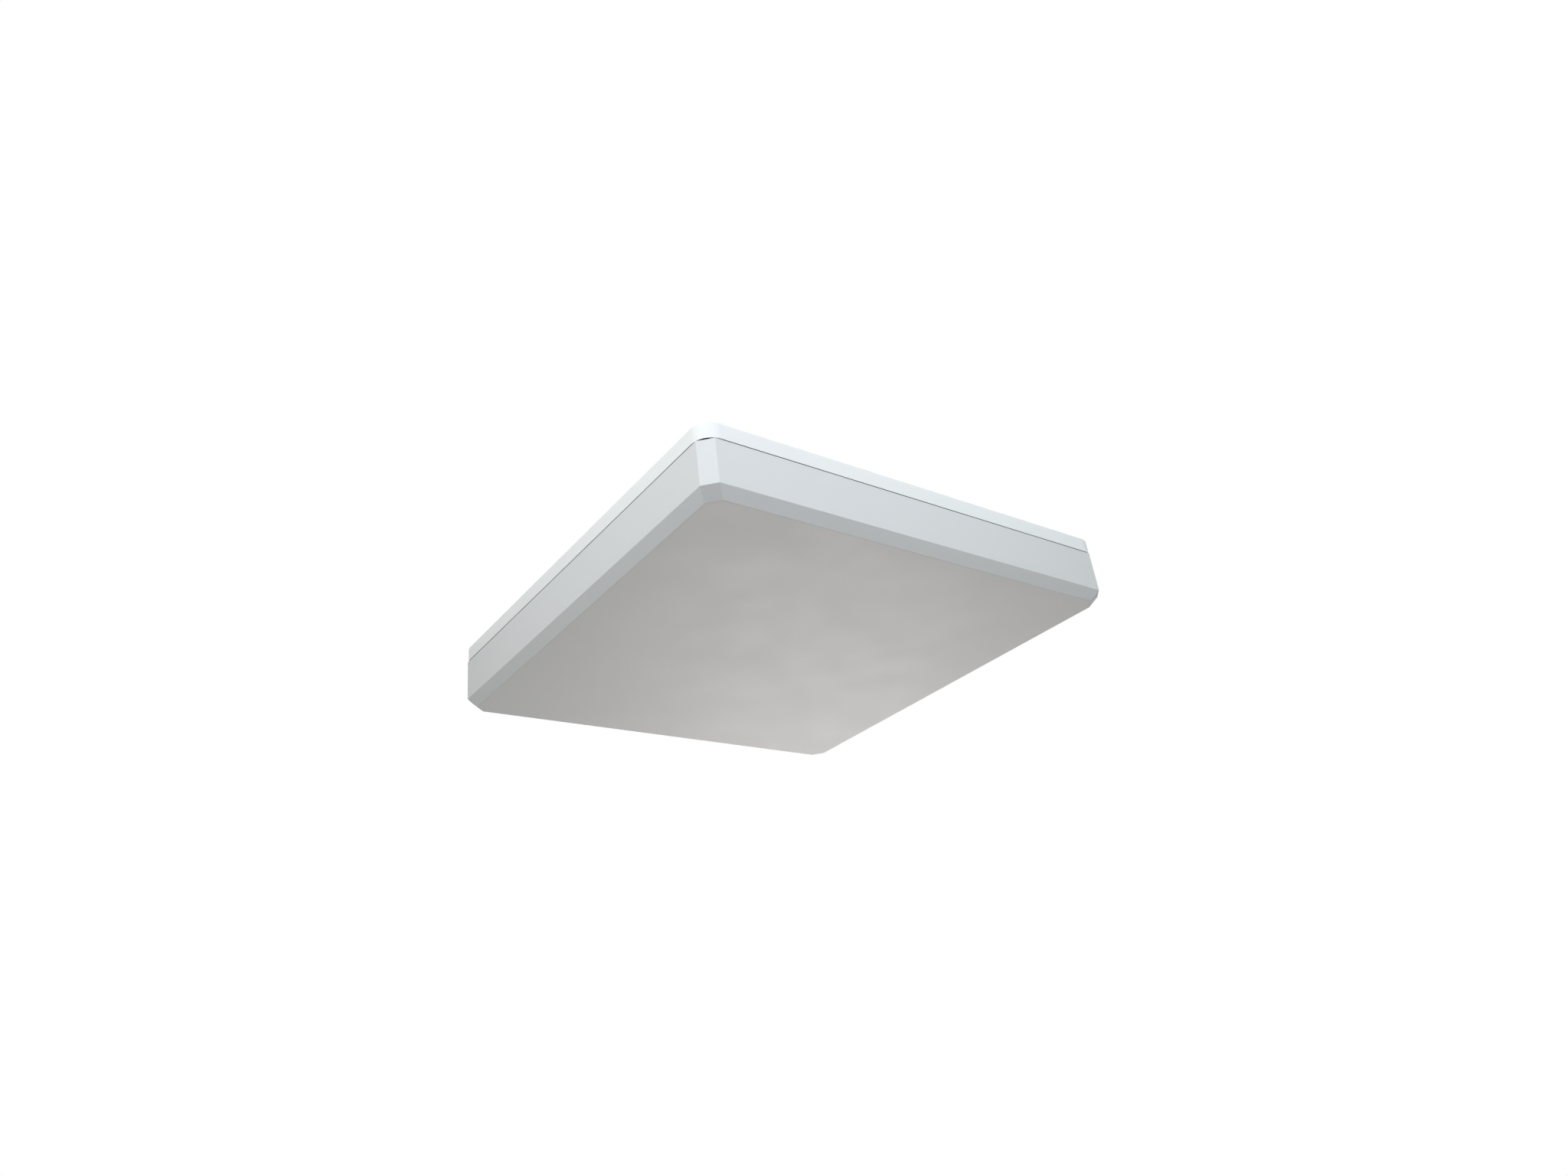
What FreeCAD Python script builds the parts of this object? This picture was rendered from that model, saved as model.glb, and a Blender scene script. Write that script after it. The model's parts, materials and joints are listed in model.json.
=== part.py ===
"""Square ceiling access point.

A die-cast base slides onto a steel ceiling bracket, a front cover with flat-cut corners is pulled off it
downwards, and the radio board hangs between the two.

Millimetres, +Z up into the ceiling. The origin is on the ceiling plane, at the centre of the bracket's four
screw holes, so everything hangs at negative Z. The ports face +Y in a bay that is open to the ceiling.
"""

import FreeCAD, Part
import math
import os

V = FreeCAD.Vector

# ---- driving sizes: base and cover

body_width = 220.0              # across the flats, both ways
base_height = 7.1               # visible band of the base
seam_gap = 0.4                  # shadow line between base and cover
cover_wall_height = 19.4        # straight part of the cover's side
chamfer_height = 4.7
chamfer_inset = 3.7
base_corner_radius = 8.0
cover_corner_cut = 5.2          # flat cut on the upright corners, measured along each side
face_corner_cut = 4.9           # the same at the flat face
ceiling_gap = 1.2               # lets the housing slide without rubbing on the ceiling

panel_thickness = 2.5           # back panel of the base
base_edge_round = 0.6
cover_wall = 2.2
cover_edge_round = 0.35
lip_wall = 1.8                  # spigot of the base inside the cover's wall
lip_depth = 3.7
lip_clearance = 0.25
seal_inset = 0.1                # seal behind the base's side
seal_gap = 0.04                 # seal to cover
fit_gap = 0.2                   # between a port and its opening
press_gap = 0.05                # round pieces that are pressed, glued or soldered in

# ---- driving sizes: ceiling bracket, studs and latch

bracket_width = 120.0
bracket_sheet = 1.5
bracket_radius = 6.0
flange_length = 100.0
flange_clearance = 1.0          # flange to recess floor
anchor_pitch = 100.0
anchor_hole_radius = 2.4
box_slot_pitch = 84.0
box_slot_length = 9.0
box_slot_radius = 2.25
cable_hole_radius = 12.0
cable_hole_rim = 8.0            # sheet round the cable hole
tongue_clearance = 6.0          # bracket's tongue to the back of the bay

pad_drop = 3.0                  # how far the keyhole pads are pressed down
pad_play = 2.0                  # room round a stud's head inside its pad
pad_radius = 4.0
pad_clearance = 0.5             # pad to recess floor
stud_spacing_x = 52.0
stud_spacing_y = 60.0
stud_shank_radius = 2.5
stud_head_radius = 4.5
stud_head_height = 1.6
stud_head_play = 0.1
stud_tail_radius = 1.95
keyhole_slot_clearance = 0.2
keyhole_entry_clearance = 0.7
slide_travel = 12.0             # from locked to free of the keyholes

latch_width = 12.0
latch_sheet = 0.6
latch_reach = 46.0              # nose from the bracket's centre
latch_nose_depth = 1.4          # nose below the recess floor
latch_pocket_depth = 2.0
latch_pocket_play = 1.5
rivet_radius = 1.5
rivet_places = (4.0, -8.0)

# ---- driving sizes: recess and port bay in the base

recess_side_play = 3.5
recess_end_play = 6.2
bay_half_width = 50.0
rim_behind_bay = 6.0
bay_wall = 2.2
bay_floor_drop = 1.4            # bay floor below the board's upper face
notch_width = 20.0              # cable notch in the rim
notch_sill = 1.1                # base left under the notch
groove_width = 2.4
groove_pitch = 6.0
groove_depth = 1.0
groove_margin = 4.0             # groove's end to the recess wall
foot_radius = 6.0
foot_height = 1.2
foot_sink = 0.5
foot_inset = 18.0               # foot's centre from both sides
label_width = 74.0
label_thickness = 0.15
label_margin = 4.0
lock_length = 7.0               # security slot
lock_height = 3.0
lock_place = 45.0               # along the side
lock_plate_sheet = 1.0
lock_plate_length = 18.0

# ---- driving sizes: cover clips

clip_width = 12.0
clip_sheet = 0.5
clip_screw_radius = 1.2
clip_screw_drop = 2.6           # screw below the back panel
clip_nose_drop = 1.1            # nose below the ledge
clip_nose_gap = 0.6             # nose to the cover's wall
ledge_width = 18.0
ledge_reach = 1.0
ledge_height = 1.2
ledge_gap = 1.3                 # ledge below the spigot

# ---- driving sizes: board and ports

board_thickness = 1.6
board_margin = 5.75             # board to spigot
board_radius = 4.0
board_bay_gap = 1.6
boss_radius = 4.0
boss_inset = 8.0                # boss's centre from the board's edges
screw_radius = 1.45
screw_length = 8.6
screw_head_radius = 2.8
screw_head_height = 2.0

port_row_start = -40.0
port_spacing = 5.0
port_sunk = 0.2                 # port fronts behind the bay's face
jack_headroom = 0.6             # jack to the recess's underside
jack_width = 16.0
jack_height = 13.5
jack_length = 21.3
jack_sheet = 0.3
plug_width = 11.9
plug_height = 6.8
plug_length = 14.0
plug_low = 1.6                  # plug opening above the board
plug_tab_width = 6.2
plug_tab_height = 1.6
plug_key_width = 3.4
plug_key_height = 1.1
contact_count = 8
contact_pitch = 1.02
contact_width = 0.45
contact_thickness = 0.35
port_light_width = 2.6
port_light_height = 1.8

usb_width = 13.1
usb_height = 5.7
usb_length = 14.0
usb_low = 0.6                   # shell above the board
usb_sheet = 0.3
usb_tongue_width = 11.1
usb_tongue_thickness = 1.8

power_width = 9.0
power_height = 11.0
power_length = 14.2
power_bore_radius = 3.0
power_bore_depth = 10.0
power_pin_radius = 1.0
power_axis = 6.5                # above the board

reset_axis = 4.6                # above the board
reset_radius = 1.6
reset_guide_gap = 0.15
reset_flange_radius = 2.6
reset_travel = 1.0
reset_play = 0.25               # button to switch at full travel
reset_sunk = 0.5                # cap behind the bay's face
switch_distance = 7.0           # switch behind the port wall
switch_width = 7.0
switch_depth = 4.2
plunger_radius = 0.9

# ---- driving sizes: what stands on the board

processor_x = -18.0
processor_y = -14.0
processor_width = 23.0
processor_height = 1.4
heat_pad_width = 24.0
heat_pad_height = 1.0
pedestal_width = 34.0
lan_gap = 2.2                   # transformer behind the jack
lan_depth = 9.0
power_inset = 27.0              # middle of the power section from the board's edge
shield_x = 44.0
shield_y = -20.0
shield_width = 52.0
shield_depth = 44.0
shield_height = 3.6
shield_sheet = 0.3
antenna_inset = 18.0
antenna_sheet = 0.4
antenna_gap = 0.8               # antenna roof to the cover
antenna_length = 34.0
antenna_width = 10.0
light_inset = 28.0              # status light's centre from the board's edge
light_height = 1.2
scan_antenna_inset = 22.5
scan_antenna_x = 42.0
light_gap = 0.4
pipe_radius = 2.0
pipe_flange_height = 0.8
pipe_boss_wall = 1.6
window_skin = 0.8               # cover left in front of the light pipe
rib_width = 1.2
rib_height = 0.5
rib_pitch = 48.0
rib_margin = 12.0

# ---- levels and planes worked out from them

half = body_width / 2
rim_z = -ceiling_gap
seam_top_z = rim_z - base_height
cover_top_z = seam_top_z - seam_gap
chamfer_z = cover_top_z - cover_wall_height
face_z = chamfer_z - chamfer_height
face_half = half - chamfer_inset
cover_inner_z = face_z + cover_wall
cover_inner_half = half - cover_wall

lip_half = cover_inner_half - lip_clearance
lip_inner_half = lip_half - lip_wall
lip_z = seam_top_z - lip_depth
panel_z = rim_z - panel_thickness

bracket_half = bracket_width / 2
keyhole_slot_radius = stud_shank_radius + keyhole_slot_clearance
keyhole_entry_radius = stud_head_radius + keyhole_entry_clearance
pad_z = -pad_drop                       # upper face of a pad
stud_head_z = pad_z + stud_head_play
recess_z = pad_z - bracket_sheet - pad_clearance
recess_under_z = recess_z - panel_thickness
recess_half = bracket_half + recess_side_play
recess_low_y = -(bracket_half + slide_travel + recess_end_play)

bay_front_y = bracket_half + recess_end_play
bay_back_y = half - rim_behind_bay
port_wall_y = bay_front_y - bay_wall    # inside face of the port wall
port_y = bay_front_y - port_sunk        # fronts of the ports
tongue_radius = cable_hole_radius + cable_hole_rim
cable_hole_y = bay_back_y - tongue_clearance - tongue_radius

board_top_z = recess_under_z - jack_headroom - jack_height
board_low_z = board_top_z - board_thickness
board_half = lip_inner_half - board_margin
board_notch_half = bay_half_width + bay_wall + board_bay_gap
board_notch_y = port_wall_y - board_bay_gap
bay_floor_z = board_top_z - bay_floor_drop

jack_xs = [port_row_start + (n + 0.5) * jack_width + n * port_spacing for n in (0, 1)]
usb_x = port_row_start + 2 * (jack_width + port_spacing) + usb_width / 2
power_x = usb_x + usb_width / 2 + port_spacing + power_width / 2
reset_x = power_x + power_width / 2 + port_spacing + reset_flange_radius
reset_z = board_top_z + reset_axis
switch_y = port_wall_y - switch_distance
button_y = switch_y + reset_travel + reset_play

ledge_top_z = lip_z - ledge_gap
ledge_low_z = ledge_top_z - ledge_height
clip_screw_z = panel_z - clip_screw_drop
clip_leaf_x = lip_inner_half - press_gap
foot_place = half - foot_inset
lock_z = rim_z - base_height / 2
antenna_roof_z = cover_inner_z + antenna_gap
pipe_top_z = board_low_z - light_height - light_gap
power_column_x = board_half - power_inset
light_y = -(board_half - light_inset)


# ---- shape helpers

def box(x0, x1, y0, y1, z0, z1):
    return Part.makeBox(x1 - x0, y1 - y0, z1 - z0, V(x0, y0, z0))


def block(cx, cy, width, depth, z0, z1):
    """Box centred on (cx, cy) in plan."""
    return box(cx - width / 2, cx + width / 2, cy - depth / 2, cy + depth / 2, z0, z1)


def rod(x, y, z0, z1, radius):
    return Part.makeCylinder(radius, z1 - z0, V(x, y, z0), V(0, 0, 1))


def rod_y(x, z, y0, y1, radius):
    return Part.makeCylinder(radius, y1 - y0, V(x, y0, z), V(0, 1, 0))


def rod_x(y, z, x0, x1, radius):
    return Part.makeCylinder(radius, x1 - x0, V(x0, y, z), V(1, 0, 0))


def rounded_block(cx, cy, width, depth, radius, z0, z1):
    """Upright prism on a rectangle with round corners."""
    solid = block(cx, cy, width, depth, z0, z1)
    upright = [e for e in solid.Edges if abs(e.Vertexes[0].Z - e.Vertexes[-1].Z) > 1e-6]
    return solid.makeFillet(radius, upright)


def soften(solid, radius, axis, place):
    """Rounds the edges that lie in the plane where the given axis has the given value."""
    low = {"x": "XMin", "y": "YMin", "z": "ZMin"}[axis]
    length = {"x": "XLength", "y": "YLength", "z": "ZLength"}[axis]
    edges = [e for e in solid.Edges
             if abs(getattr(e.BoundBox, low) - place) < 1e-4 and getattr(e.BoundBox, length) < 1e-4]
    return solid.makeFillet(radius, edges)


def strip(points, thickness, width, across):
    """Bent sheet: a side outline of (along, z) points, thickened downwards and extruded sideways."""
    if across == "x":
        place = lambda a, z: V(-width / 2, a, z)
        push = V(width, 0, 0)
    else:
        place = lambda a, z: V(a, -width / 2, z)
        push = V(0, width, 0)
    upper = [place(a, z) for a, z in points]
    lower = [place(a, z - thickness) for a, z in reversed(points)]
    return Part.Face(Part.makePolygon(upper + lower + [upper[0]])).extrude(push)


def cut_corner_wire(half_width, cut, z):
    """Square with its four corners cut off flat."""
    a, b = half_width, half_width - cut
    corners = [(b, -a), (a, -b), (a, b), (b, a), (-b, a), (-a, b), (-a, -b), (-b, -a)]
    return Part.makePolygon([V(x, y, z) for x, y in corners] + [V(b, -a, z)])


def cut_corner_block(low, high):
    """Solid between two cut-corner outlines, each given as (half width, cut, z)."""
    return Part.makeLoft([cut_corner_wire(*low), cut_corner_wire(*high)], True, True)


def slot_prism(cx, cy, length, radius, z0, z1):
    """Upright prism on a slot with round ends that runs along X."""
    reach = length / 2 - radius
    ends = [rod(cx + side * reach, cy, z0, z1, radius) for side in (-1, 1)]
    return block(cx, cy, 2 * reach, 2 * radius, z0, z1).fuse(ends).removeSplitter()


def corners_of(x, y):
    return [(sx * x, sy * y) for sx in (-1, 1) for sy in (-1, 1)]


def place_on_side(shape, turn, along):
    """Moves a piece made for the middle of the +X side along it, then round to its own side."""
    copy = shape.copy()
    copy.translate(V(0, along, 0))
    copy.rotate(V(0, 0, 0), V(0, 0, 1), 90 * turn)
    return copy


def export(name, shapes):
    """One STEP per node. Identical pieces that share a node stay separate solids."""
    solids = []
    for shape in shapes if isinstance(shapes, list) else [shapes]:
        solids += shape.Solids
    whole = solids[0] if len(solids) == 1 else Part.makeCompound(solids)
    if not whole.isValid() or any(s.Volume <= 0 for s in solids):
        raise ValueError(name + " is not a valid solid")
    whole.exportStep("parts/" + name + ".step")


def export_each(name, shapes):
    """Numbered nodes for pieces that repeat."""
    for number, shape in enumerate(shapes, 1):
        export(name + "_" + str(number), shape)


# ---- ceiling bracket and its latch

def stud_places():
    return corners_of(stud_spacing_x / 2, stud_spacing_y / 2)


def bracket_pad(x, y, inset, z0, z1):
    """Rectangular pressing round one keyhole; the inset makes its hollow side."""
    spread = pad_play + bracket_sheet - inset
    front = stud_head_radius + spread
    back = slide_travel + keyhole_entry_radius + spread
    return rounded_block(x, y + (back - front) / 2, 2 * (keyhole_entry_radius + spread), front + back,
                         pad_radius - inset, z0, z1)


def keyhole(x, y):
    z0, z1 = pad_z - 2 * bracket_sheet, pad_z + bracket_sheet
    entry = rod(x, y + slide_travel, z0, z1, keyhole_entry_radius)
    slot = block(x, y + slide_travel / 2, 2 * keyhole_slot_radius, slide_travel, z0, z1)
    return entry.fuse([slot, rod(x, y, z0, z1, keyhole_slot_radius)])


def ceiling_bracket():
    low = -bracket_sheet
    plate = rounded_block(0, 0, bracket_width, bracket_width, bracket_radius, low, 0)
    tongue = rod(0, cable_hole_y, low, 0, tongue_radius)
    neck = box(-tongue_radius, tongue_radius, 0, cable_hole_y, low, 0)
    flanges = [block(side * (bracket_half - bracket_sheet / 2), 0, bracket_sheet, flange_length,
                     recess_z + flange_clearance, 0) for side in (-1, 1)]
    pads = [bracket_pad(x, y, 0, pad_z - bracket_sheet, 0) for x, y in stud_places()]
    solid = plate.fuse([tongue, neck] + flanges + pads).removeSplitter()
    cuts = [bracket_pad(x, y, bracket_sheet, pad_z, 1) for x, y in stud_places()]
    cuts += [keyhole(x, y) for x, y in stud_places()]
    cuts += [rod(x, y, 2 * low, 1, anchor_hole_radius)
             for x, y in corners_of(anchor_pitch / 2, anchor_pitch / 2)]
    cuts += [slot_prism(side * box_slot_pitch / 2, 0, box_slot_length, box_slot_radius, 2 * low, 1)
             for side in (-1, 1)]
    cuts += [rod(0, y, 2 * low, 1, rivet_radius + press_gap) for y in rivet_places]
    cuts.append(rod(0, cable_hole_y, 2 * low, 1, cable_hole_radius))
    return solid.cut(cuts)


def latch_spring():
    """Leaf spring under the bracket; its nose drops into a pocket in the recess floor."""
    top = -bracket_sheet
    nose = -latch_reach
    nose_z = recess_z - latch_nose_depth + latch_sheet
    bend_z = recess_z + 2 * latch_sheet + pad_clearance - 0.1
    line = [(10, top), (-16, top), (nose + 7, bend_z + 0.3), (nose + 4, bend_z), (nose, nose_z),
            (nose - 4, bend_z)]
    leaf = strip(line, latch_sheet, latch_width, "x")
    return leaf.cut([rod(0, y, 2 * recess_z, 1, rivet_radius + press_gap) for y in rivet_places])


def latch_rivet(y):
    low = -bracket_sheet - latch_sheet
    return rod(0, y, low, -press_gap, rivet_radius).fuse(rod(0, y, low - 0.8, low, rivet_radius + 1.1))


# ---- ports

def plug_cavity(x, y0, y1):
    """Space of a modular plug whose latch faces the ceiling."""
    z0 = board_top_z + plug_low
    z1 = z0 + plug_height
    z2 = z1 + plug_tab_height
    body = box(x - plug_width / 2, x + plug_width / 2, y0, y1, z0, z1)
    tab = box(x - plug_tab_width / 2, x + plug_tab_width / 2, y0, y1, z1 - 1, z2)
    key = box(x - plug_key_width / 2, x + plug_key_width / 2, y0, y1, z2 - 1, z2 + plug_key_height)
    return body.fuse([tab, key]).removeSplitter()


def port_light(x, side, y0, y1, grow=0.0):
    """Link light in an upper corner of a jack's front."""
    cx = x + side * (jack_width / 2 - 0.7 - port_light_width / 2)
    cz = board_top_z + jack_height - 0.8 - port_light_height / 2
    w, h = port_light_width / 2 + grow, port_light_height / 2 + grow
    return box(cx - w, cx + w, y0, y1, cz - h, cz + h)


def ethernet_shell(x):
    y0, z1, t = port_y - jack_length, board_top_z + jack_height, jack_sheet
    outer = box(x - jack_width / 2, x + jack_width / 2, y0, port_y, board_top_z, z1)
    inner = box(x - jack_width / 2 + t, x + jack_width / 2 - t, y0 + t, port_y - t,
                board_top_z - 1, z1 - t)
    windows = [port_light(x, side, port_y - 1, port_y + 1, press_gap) for side in (-1, 1)]
    return outer.cut([inner, plug_cavity(x, port_y - 1, port_y + 1)] + windows)


def contact_x(x, n):
    return x + (n - (contact_count - 1) / 2) * contact_pitch


def contact_slot(x, n):
    """Slot that lets one contact move inside the insert."""
    y1 = port_y - 2.5
    return block(contact_x(x, n), y1 - (plug_length - 1) / 2, contact_width + 2 * press_gap,
                 plug_length - 1, board_top_z + 0.5, board_top_z + plug_low + 1)


def ethernet_insert(x):
    gap = jack_sheet + press_gap
    y0, y1 = port_y - jack_length + 1, port_y - gap
    body = box(x - jack_width / 2 + gap, x + jack_width / 2 - gap, y0, y1,
               board_top_z, board_top_z + jack_height - gap)
    cuts = [plug_cavity(x, y1 - plug_length, y1 + 1)]
    cuts += [port_light(x, side, y1 - 8, y1 + 1, press_gap) for side in (-1, 1)]
    cuts += [contact_slot(x, n) for n in range(contact_count)]
    return body.cut(cuts)


def ethernet_contact(x, n):
    """Spring wire that leans up into the plug's space."""
    y1 = port_y - 3
    y0 = y1 - plug_length + 3
    z0 = board_top_z + 0.7 + contact_thickness
    wire = strip([(y1, z0), (y0 + 2.5, z0 + 3.2), (y0, z0 + 3.4)], contact_thickness, contact_width, "x")
    wire.translate(V(contact_x(x, n), 0, 0))
    return wire


def usb_shell():
    z0, z1 = board_top_z + usb_low, board_top_z + usb_low + usb_height
    y0, t = port_y - usb_length, usb_sheet
    outer = box(usb_x - usb_width / 2, usb_x + usb_width / 2, y0, port_y, z0, z1)
    inner = box(usb_x - usb_width / 2 + t, usb_x + usb_width / 2 - t, y0 + t, port_y + 1, z0 + t, z1 - t)
    legs = [block(usb_x + side * (usb_width - t) / 2, y, t, 2, board_top_z, z0 + 1)
            for side in (-1, 1) for y in (y0 + 3, y0 + 9)]
    return outer.cut(inner).fuse(legs).removeSplitter()


def usb_tongue():
    gap = usb_sheet + press_gap
    z0, z1 = board_top_z + usb_low + gap, board_top_z + usb_low + usb_height - gap
    y0 = port_y - usb_length + gap
    middle = z0 + 0.55 * (z1 - z0)
    root = box(usb_x - usb_width / 2 + gap, usb_x + usb_width / 2 - gap, y0, y0 + 3, z0, z1)
    tongue = box(usb_x - usb_tongue_width / 2, usb_x + usb_tongue_width / 2, y0 + 2, port_y - 1.2,
                 middle - usb_tongue_thickness / 2, middle + usb_tongue_thickness / 2)
    return root.fuse(tongue).removeSplitter()


def power_jack():
    y0, z = port_y - power_length, board_top_z + power_axis
    body = box(power_x - power_width / 2, power_x + power_width / 2, y0, port_y,
               board_top_z, board_top_z + power_height)
    bore = rod_y(power_x, z, port_y - power_bore_depth, port_y + 1, power_bore_radius)
    return body.cut([bore, rod_y(power_x, z, y0 + 1, port_y, power_pin_radius + press_gap)])


def power_pin():
    y1 = port_y - 0.8
    pin = rod_y(power_x, board_top_z + power_axis, port_y - power_length + 2, y1, power_pin_radius)
    return soften(pin, power_pin_radius / 2, "y", y1)


# ---- reset switch and button

def reset_switch():
    """Tact switch that stands on the board behind the button."""
    body = box(reset_x - switch_width / 2, reset_x + switch_width / 2, switch_y - switch_depth, switch_y,
               board_top_z, reset_z + 3.2)
    return body.cut(rod_y(reset_x, reset_z, switch_y - 3, switch_y + 1, plunger_radius + 0.1))


def reset_plunger():
    return rod_y(reset_x, reset_z, switch_y - 1.6, button_y, plunger_radius)


def reset_button():
    """Cap in the port wall, with a flange behind the wall that keeps it in."""
    front = bay_front_y - reset_sunk
    cap = soften(rod_y(reset_x, reset_z, button_y, front, reset_radius), 0.4, "y", front)
    flange_y = port_wall_y - press_gap
    return cap.fuse(rod_y(reset_x, reset_z, flange_y - 1, flange_y, reset_flange_radius)).removeSplitter()


# ---- base

def boss_places():
    side = board_half - boss_inset
    bay_x = board_notch_half + 6.2
    return corners_of(side, side) + [(-side, 0), (side, 0), (0, -side), (-bay_x, board_notch_y - 10.4),
                                     (bay_x, board_notch_y - 10.4)]


def clip_places():
    """(quarter turns from the +X side, distance along the side) of each cover clip."""
    beside_bay = (bay_half_width + bay_wall + lip_inner_half) / 2
    return [(0, 0), (2, 0)] + [(turn, side * beside_bay) for turn in (1, 3) for side in (-1, 1)]


def base_shell():
    """Back panel, outer wall and the spigot that the cover slides over."""
    outer = rounded_block(0, 0, body_width, body_width, base_corner_radius, seam_top_z, rim_z)
    outer = soften(outer, base_edge_round, "z", rim_z)
    lip = rounded_block(0, 0, 2 * lip_half, 2 * lip_half, base_corner_radius, lip_z, panel_z)
    hollow = rounded_block(0, 0, 2 * lip_inner_half, 2 * lip_inner_half,
                           base_corner_radius - lip_wall, lip_z - 1, panel_z)
    return outer.fuse(lip).cut(hollow)


def board_boss(x, y):
    in_recess = abs(x) < recess_half and recess_low_y < y < bay_front_y
    return rod(x, y, board_top_z, recess_z - 1 if in_recess else panel_z + 1, boss_radius)


def latch_pocket(grow, z0, z1):
    play = latch_pocket_play + grow
    return block(0, -latch_reach, latch_width + 2 * play, 6 + 2 * play, z0, z1)


def base_bodies():
    """What is added under the back panel."""
    recess = box(-recess_half - panel_thickness, recess_half + panel_thickness,
                 recess_low_y - panel_thickness, bay_front_y, recess_under_z, panel_z + 1)
    bay = box(-bay_half_width - bay_wall, bay_half_width + bay_wall, port_wall_y, bay_back_y + bay_wall,
              bay_floor_z - bay_wall, panel_z + 1)
    heat_z = board_top_z + processor_height + heat_pad_height
    pedestal = block(processor_x, processor_y, pedestal_width, pedestal_width, heat_z, recess_z - 1)
    pocket = latch_pocket(2, recess_z - latch_pocket_depth - 2, recess_z - 1)
    return [recess, bay, pedestal, pocket] + [board_boss(x, y) for x, y in boss_places()]


def port_openings():
    """Holes in the port wall, each a little larger than its port."""
    y0, y1, g = port_wall_y - 1, bay_front_y + 1, fit_gap
    usb_z = board_top_z + usb_low
    holes = [box(x - jack_width / 2 - g, x + jack_width / 2 + g, y0, y1,
                 board_top_z - g, board_top_z + jack_height + g) for x in jack_xs]
    holes.append(box(usb_x - usb_width / 2 - g, usb_x + usb_width / 2 + g, y0, y1,
                     usb_z - g, usb_z + usb_height + g))
    holes.append(box(power_x - power_width / 2 - g, power_x + power_width / 2 + g, y0, y1,
                     board_top_z - g, board_top_z + power_height + g))
    holes.append(rod_y(reset_x, reset_z, y0, y1, reset_radius + reset_guide_gap))
    return holes


def cooling_grooves():
    """Shallow grooves across the back panel, on both sides of the recess."""
    low, high = recess_half + panel_thickness + groove_margin, foot_place + foot_radius
    per_half = int((foot_place - 2 * foot_radius) / groove_pitch)
    return [slot_prism(side * (low + high) / 2, n * groove_pitch, high - low, groove_width / 2,
                       rim_z - groove_depth, rim_z + 1)
            for n in range(-per_half, per_half + 1) for side in (-1, 1)]


def lock_slot():
    """Security slot through the +X side, made at the middle of that side."""
    return box(lip_inner_half - 3, half + 1, -lock_length / 2, lock_length / 2,
               lock_z - lock_height / 2, lock_z + lock_height / 2)


def rear_base():
    solid = base_shell().fuse(base_bodies()).removeSplitter()
    cuts = [box(-recess_half, recess_half, recess_low_y, bay_front_y, recess_z, rim_z + 1)]
    cuts.append(box(-bay_half_width, bay_half_width, bay_front_y, bay_back_y, bay_floor_z, rim_z + 1))
    cuts.append(box(-notch_width / 2, notch_width / 2, bay_back_y - 1, half + 1,
                    seam_top_z + notch_sill, rim_z + 1))
    cuts.append(latch_pocket(0, recess_z - latch_pocket_depth, recess_z + 1))
    cuts += port_openings() + cooling_grooves()
    cuts += [rod(x, y, board_top_z - 1, board_low_z + screw_length + 0.5, screw_radius + press_gap)
             for x, y in boss_places()]
    cuts += [rod(x, y, rim_z - foot_sink, rim_z + 1, foot_radius + 0.1)
             for x, y in corners_of(foot_place, foot_place)]
    cuts += [rod(x, y, recess_under_z - 2, recess_z + 1, stud_tail_radius + press_gap)
             for x, y in stud_places()]
    cuts.append(place_on_side(lock_slot(), 0, lock_place))
    screw_hole = rod_x(0, clip_screw_z, lip_inner_half - 1, half - 2, clip_screw_radius + press_gap)
    cuts += [place_on_side(screw_hole, turn, along) for turn, along in clip_places()]
    return solid.cut(cuts).removeSplitter()


# ---- spring clips that hold the cover

def spring_clip():
    """Leaf that hangs inside the spigot, passes under it and reaches below the cover's ledge."""
    x0, t = clip_leaf_x, clip_sheet
    nose_z = ledge_low_z - clip_nose_drop
    line = [(x0, panel_z - 1.2), (x0, lip_z - 0.9), (cover_inner_half - clip_nose_gap, nose_z),
            (x0 - 1.2, nose_z - 2.2)]
    outer = [V(x, -clip_width / 2, z) for x, z in line]
    inner = [V(x - t, -clip_width / 2, z) for x, z in reversed(line)]
    leaf = Part.Face(Part.makePolygon(outer + inner + [outer[0]])).extrude(V(0, clip_width, 0))
    return leaf.cut(rod_x(0, clip_screw_z, x0 - 5, x0 + 5, clip_screw_radius + press_gap))


def clip_screw():
    x0 = clip_leaf_x - clip_sheet
    shank = rod_x(0, clip_screw_z, x0, half - 2.5, clip_screw_radius)
    head = rod_x(0, clip_screw_z, x0 - 1.2, x0, clip_screw_radius + 1.1)
    return shank.fuse(head).cut(rod_x(0, clip_screw_z, x0 - 2, x0 - 0.6, 0.9))


# ---- small pieces of the housing

def perimeter_seal():
    """Flat ring between base and cover, set back from the outside."""
    outer_width = body_width - 2 * seal_inset
    inner_width = 2 * (lip_half + press_gap)
    low = seam_top_z - seam_gap + seal_gap
    outer = rounded_block(0, 0, outer_width, outer_width, base_corner_radius - seal_inset, low, seam_top_z)
    inner = rounded_block(0, 0, inner_width, inner_width, base_corner_radius + press_gap,
                          low - 1, seam_top_z + 1)
    return outer.cut(inner)


def bracket_stud(x, y):
    tail = rod(x, y, recess_under_z, recess_z, stud_tail_radius)
    shank = rod(x, y, recess_z, stud_head_z, stud_shank_radius)
    top = stud_head_z + stud_head_height
    head = soften(rod(x, y, stud_head_z, top, stud_head_radius), 0.4, "z", top)
    return tail.fuse([shank, head]).removeSplitter()


def rubber_foot(x, y):
    top = rim_z - foot_sink + foot_height
    return soften(rod(x, y, rim_z - foot_sink, top, foot_radius), 0.3, "z", top)


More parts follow.
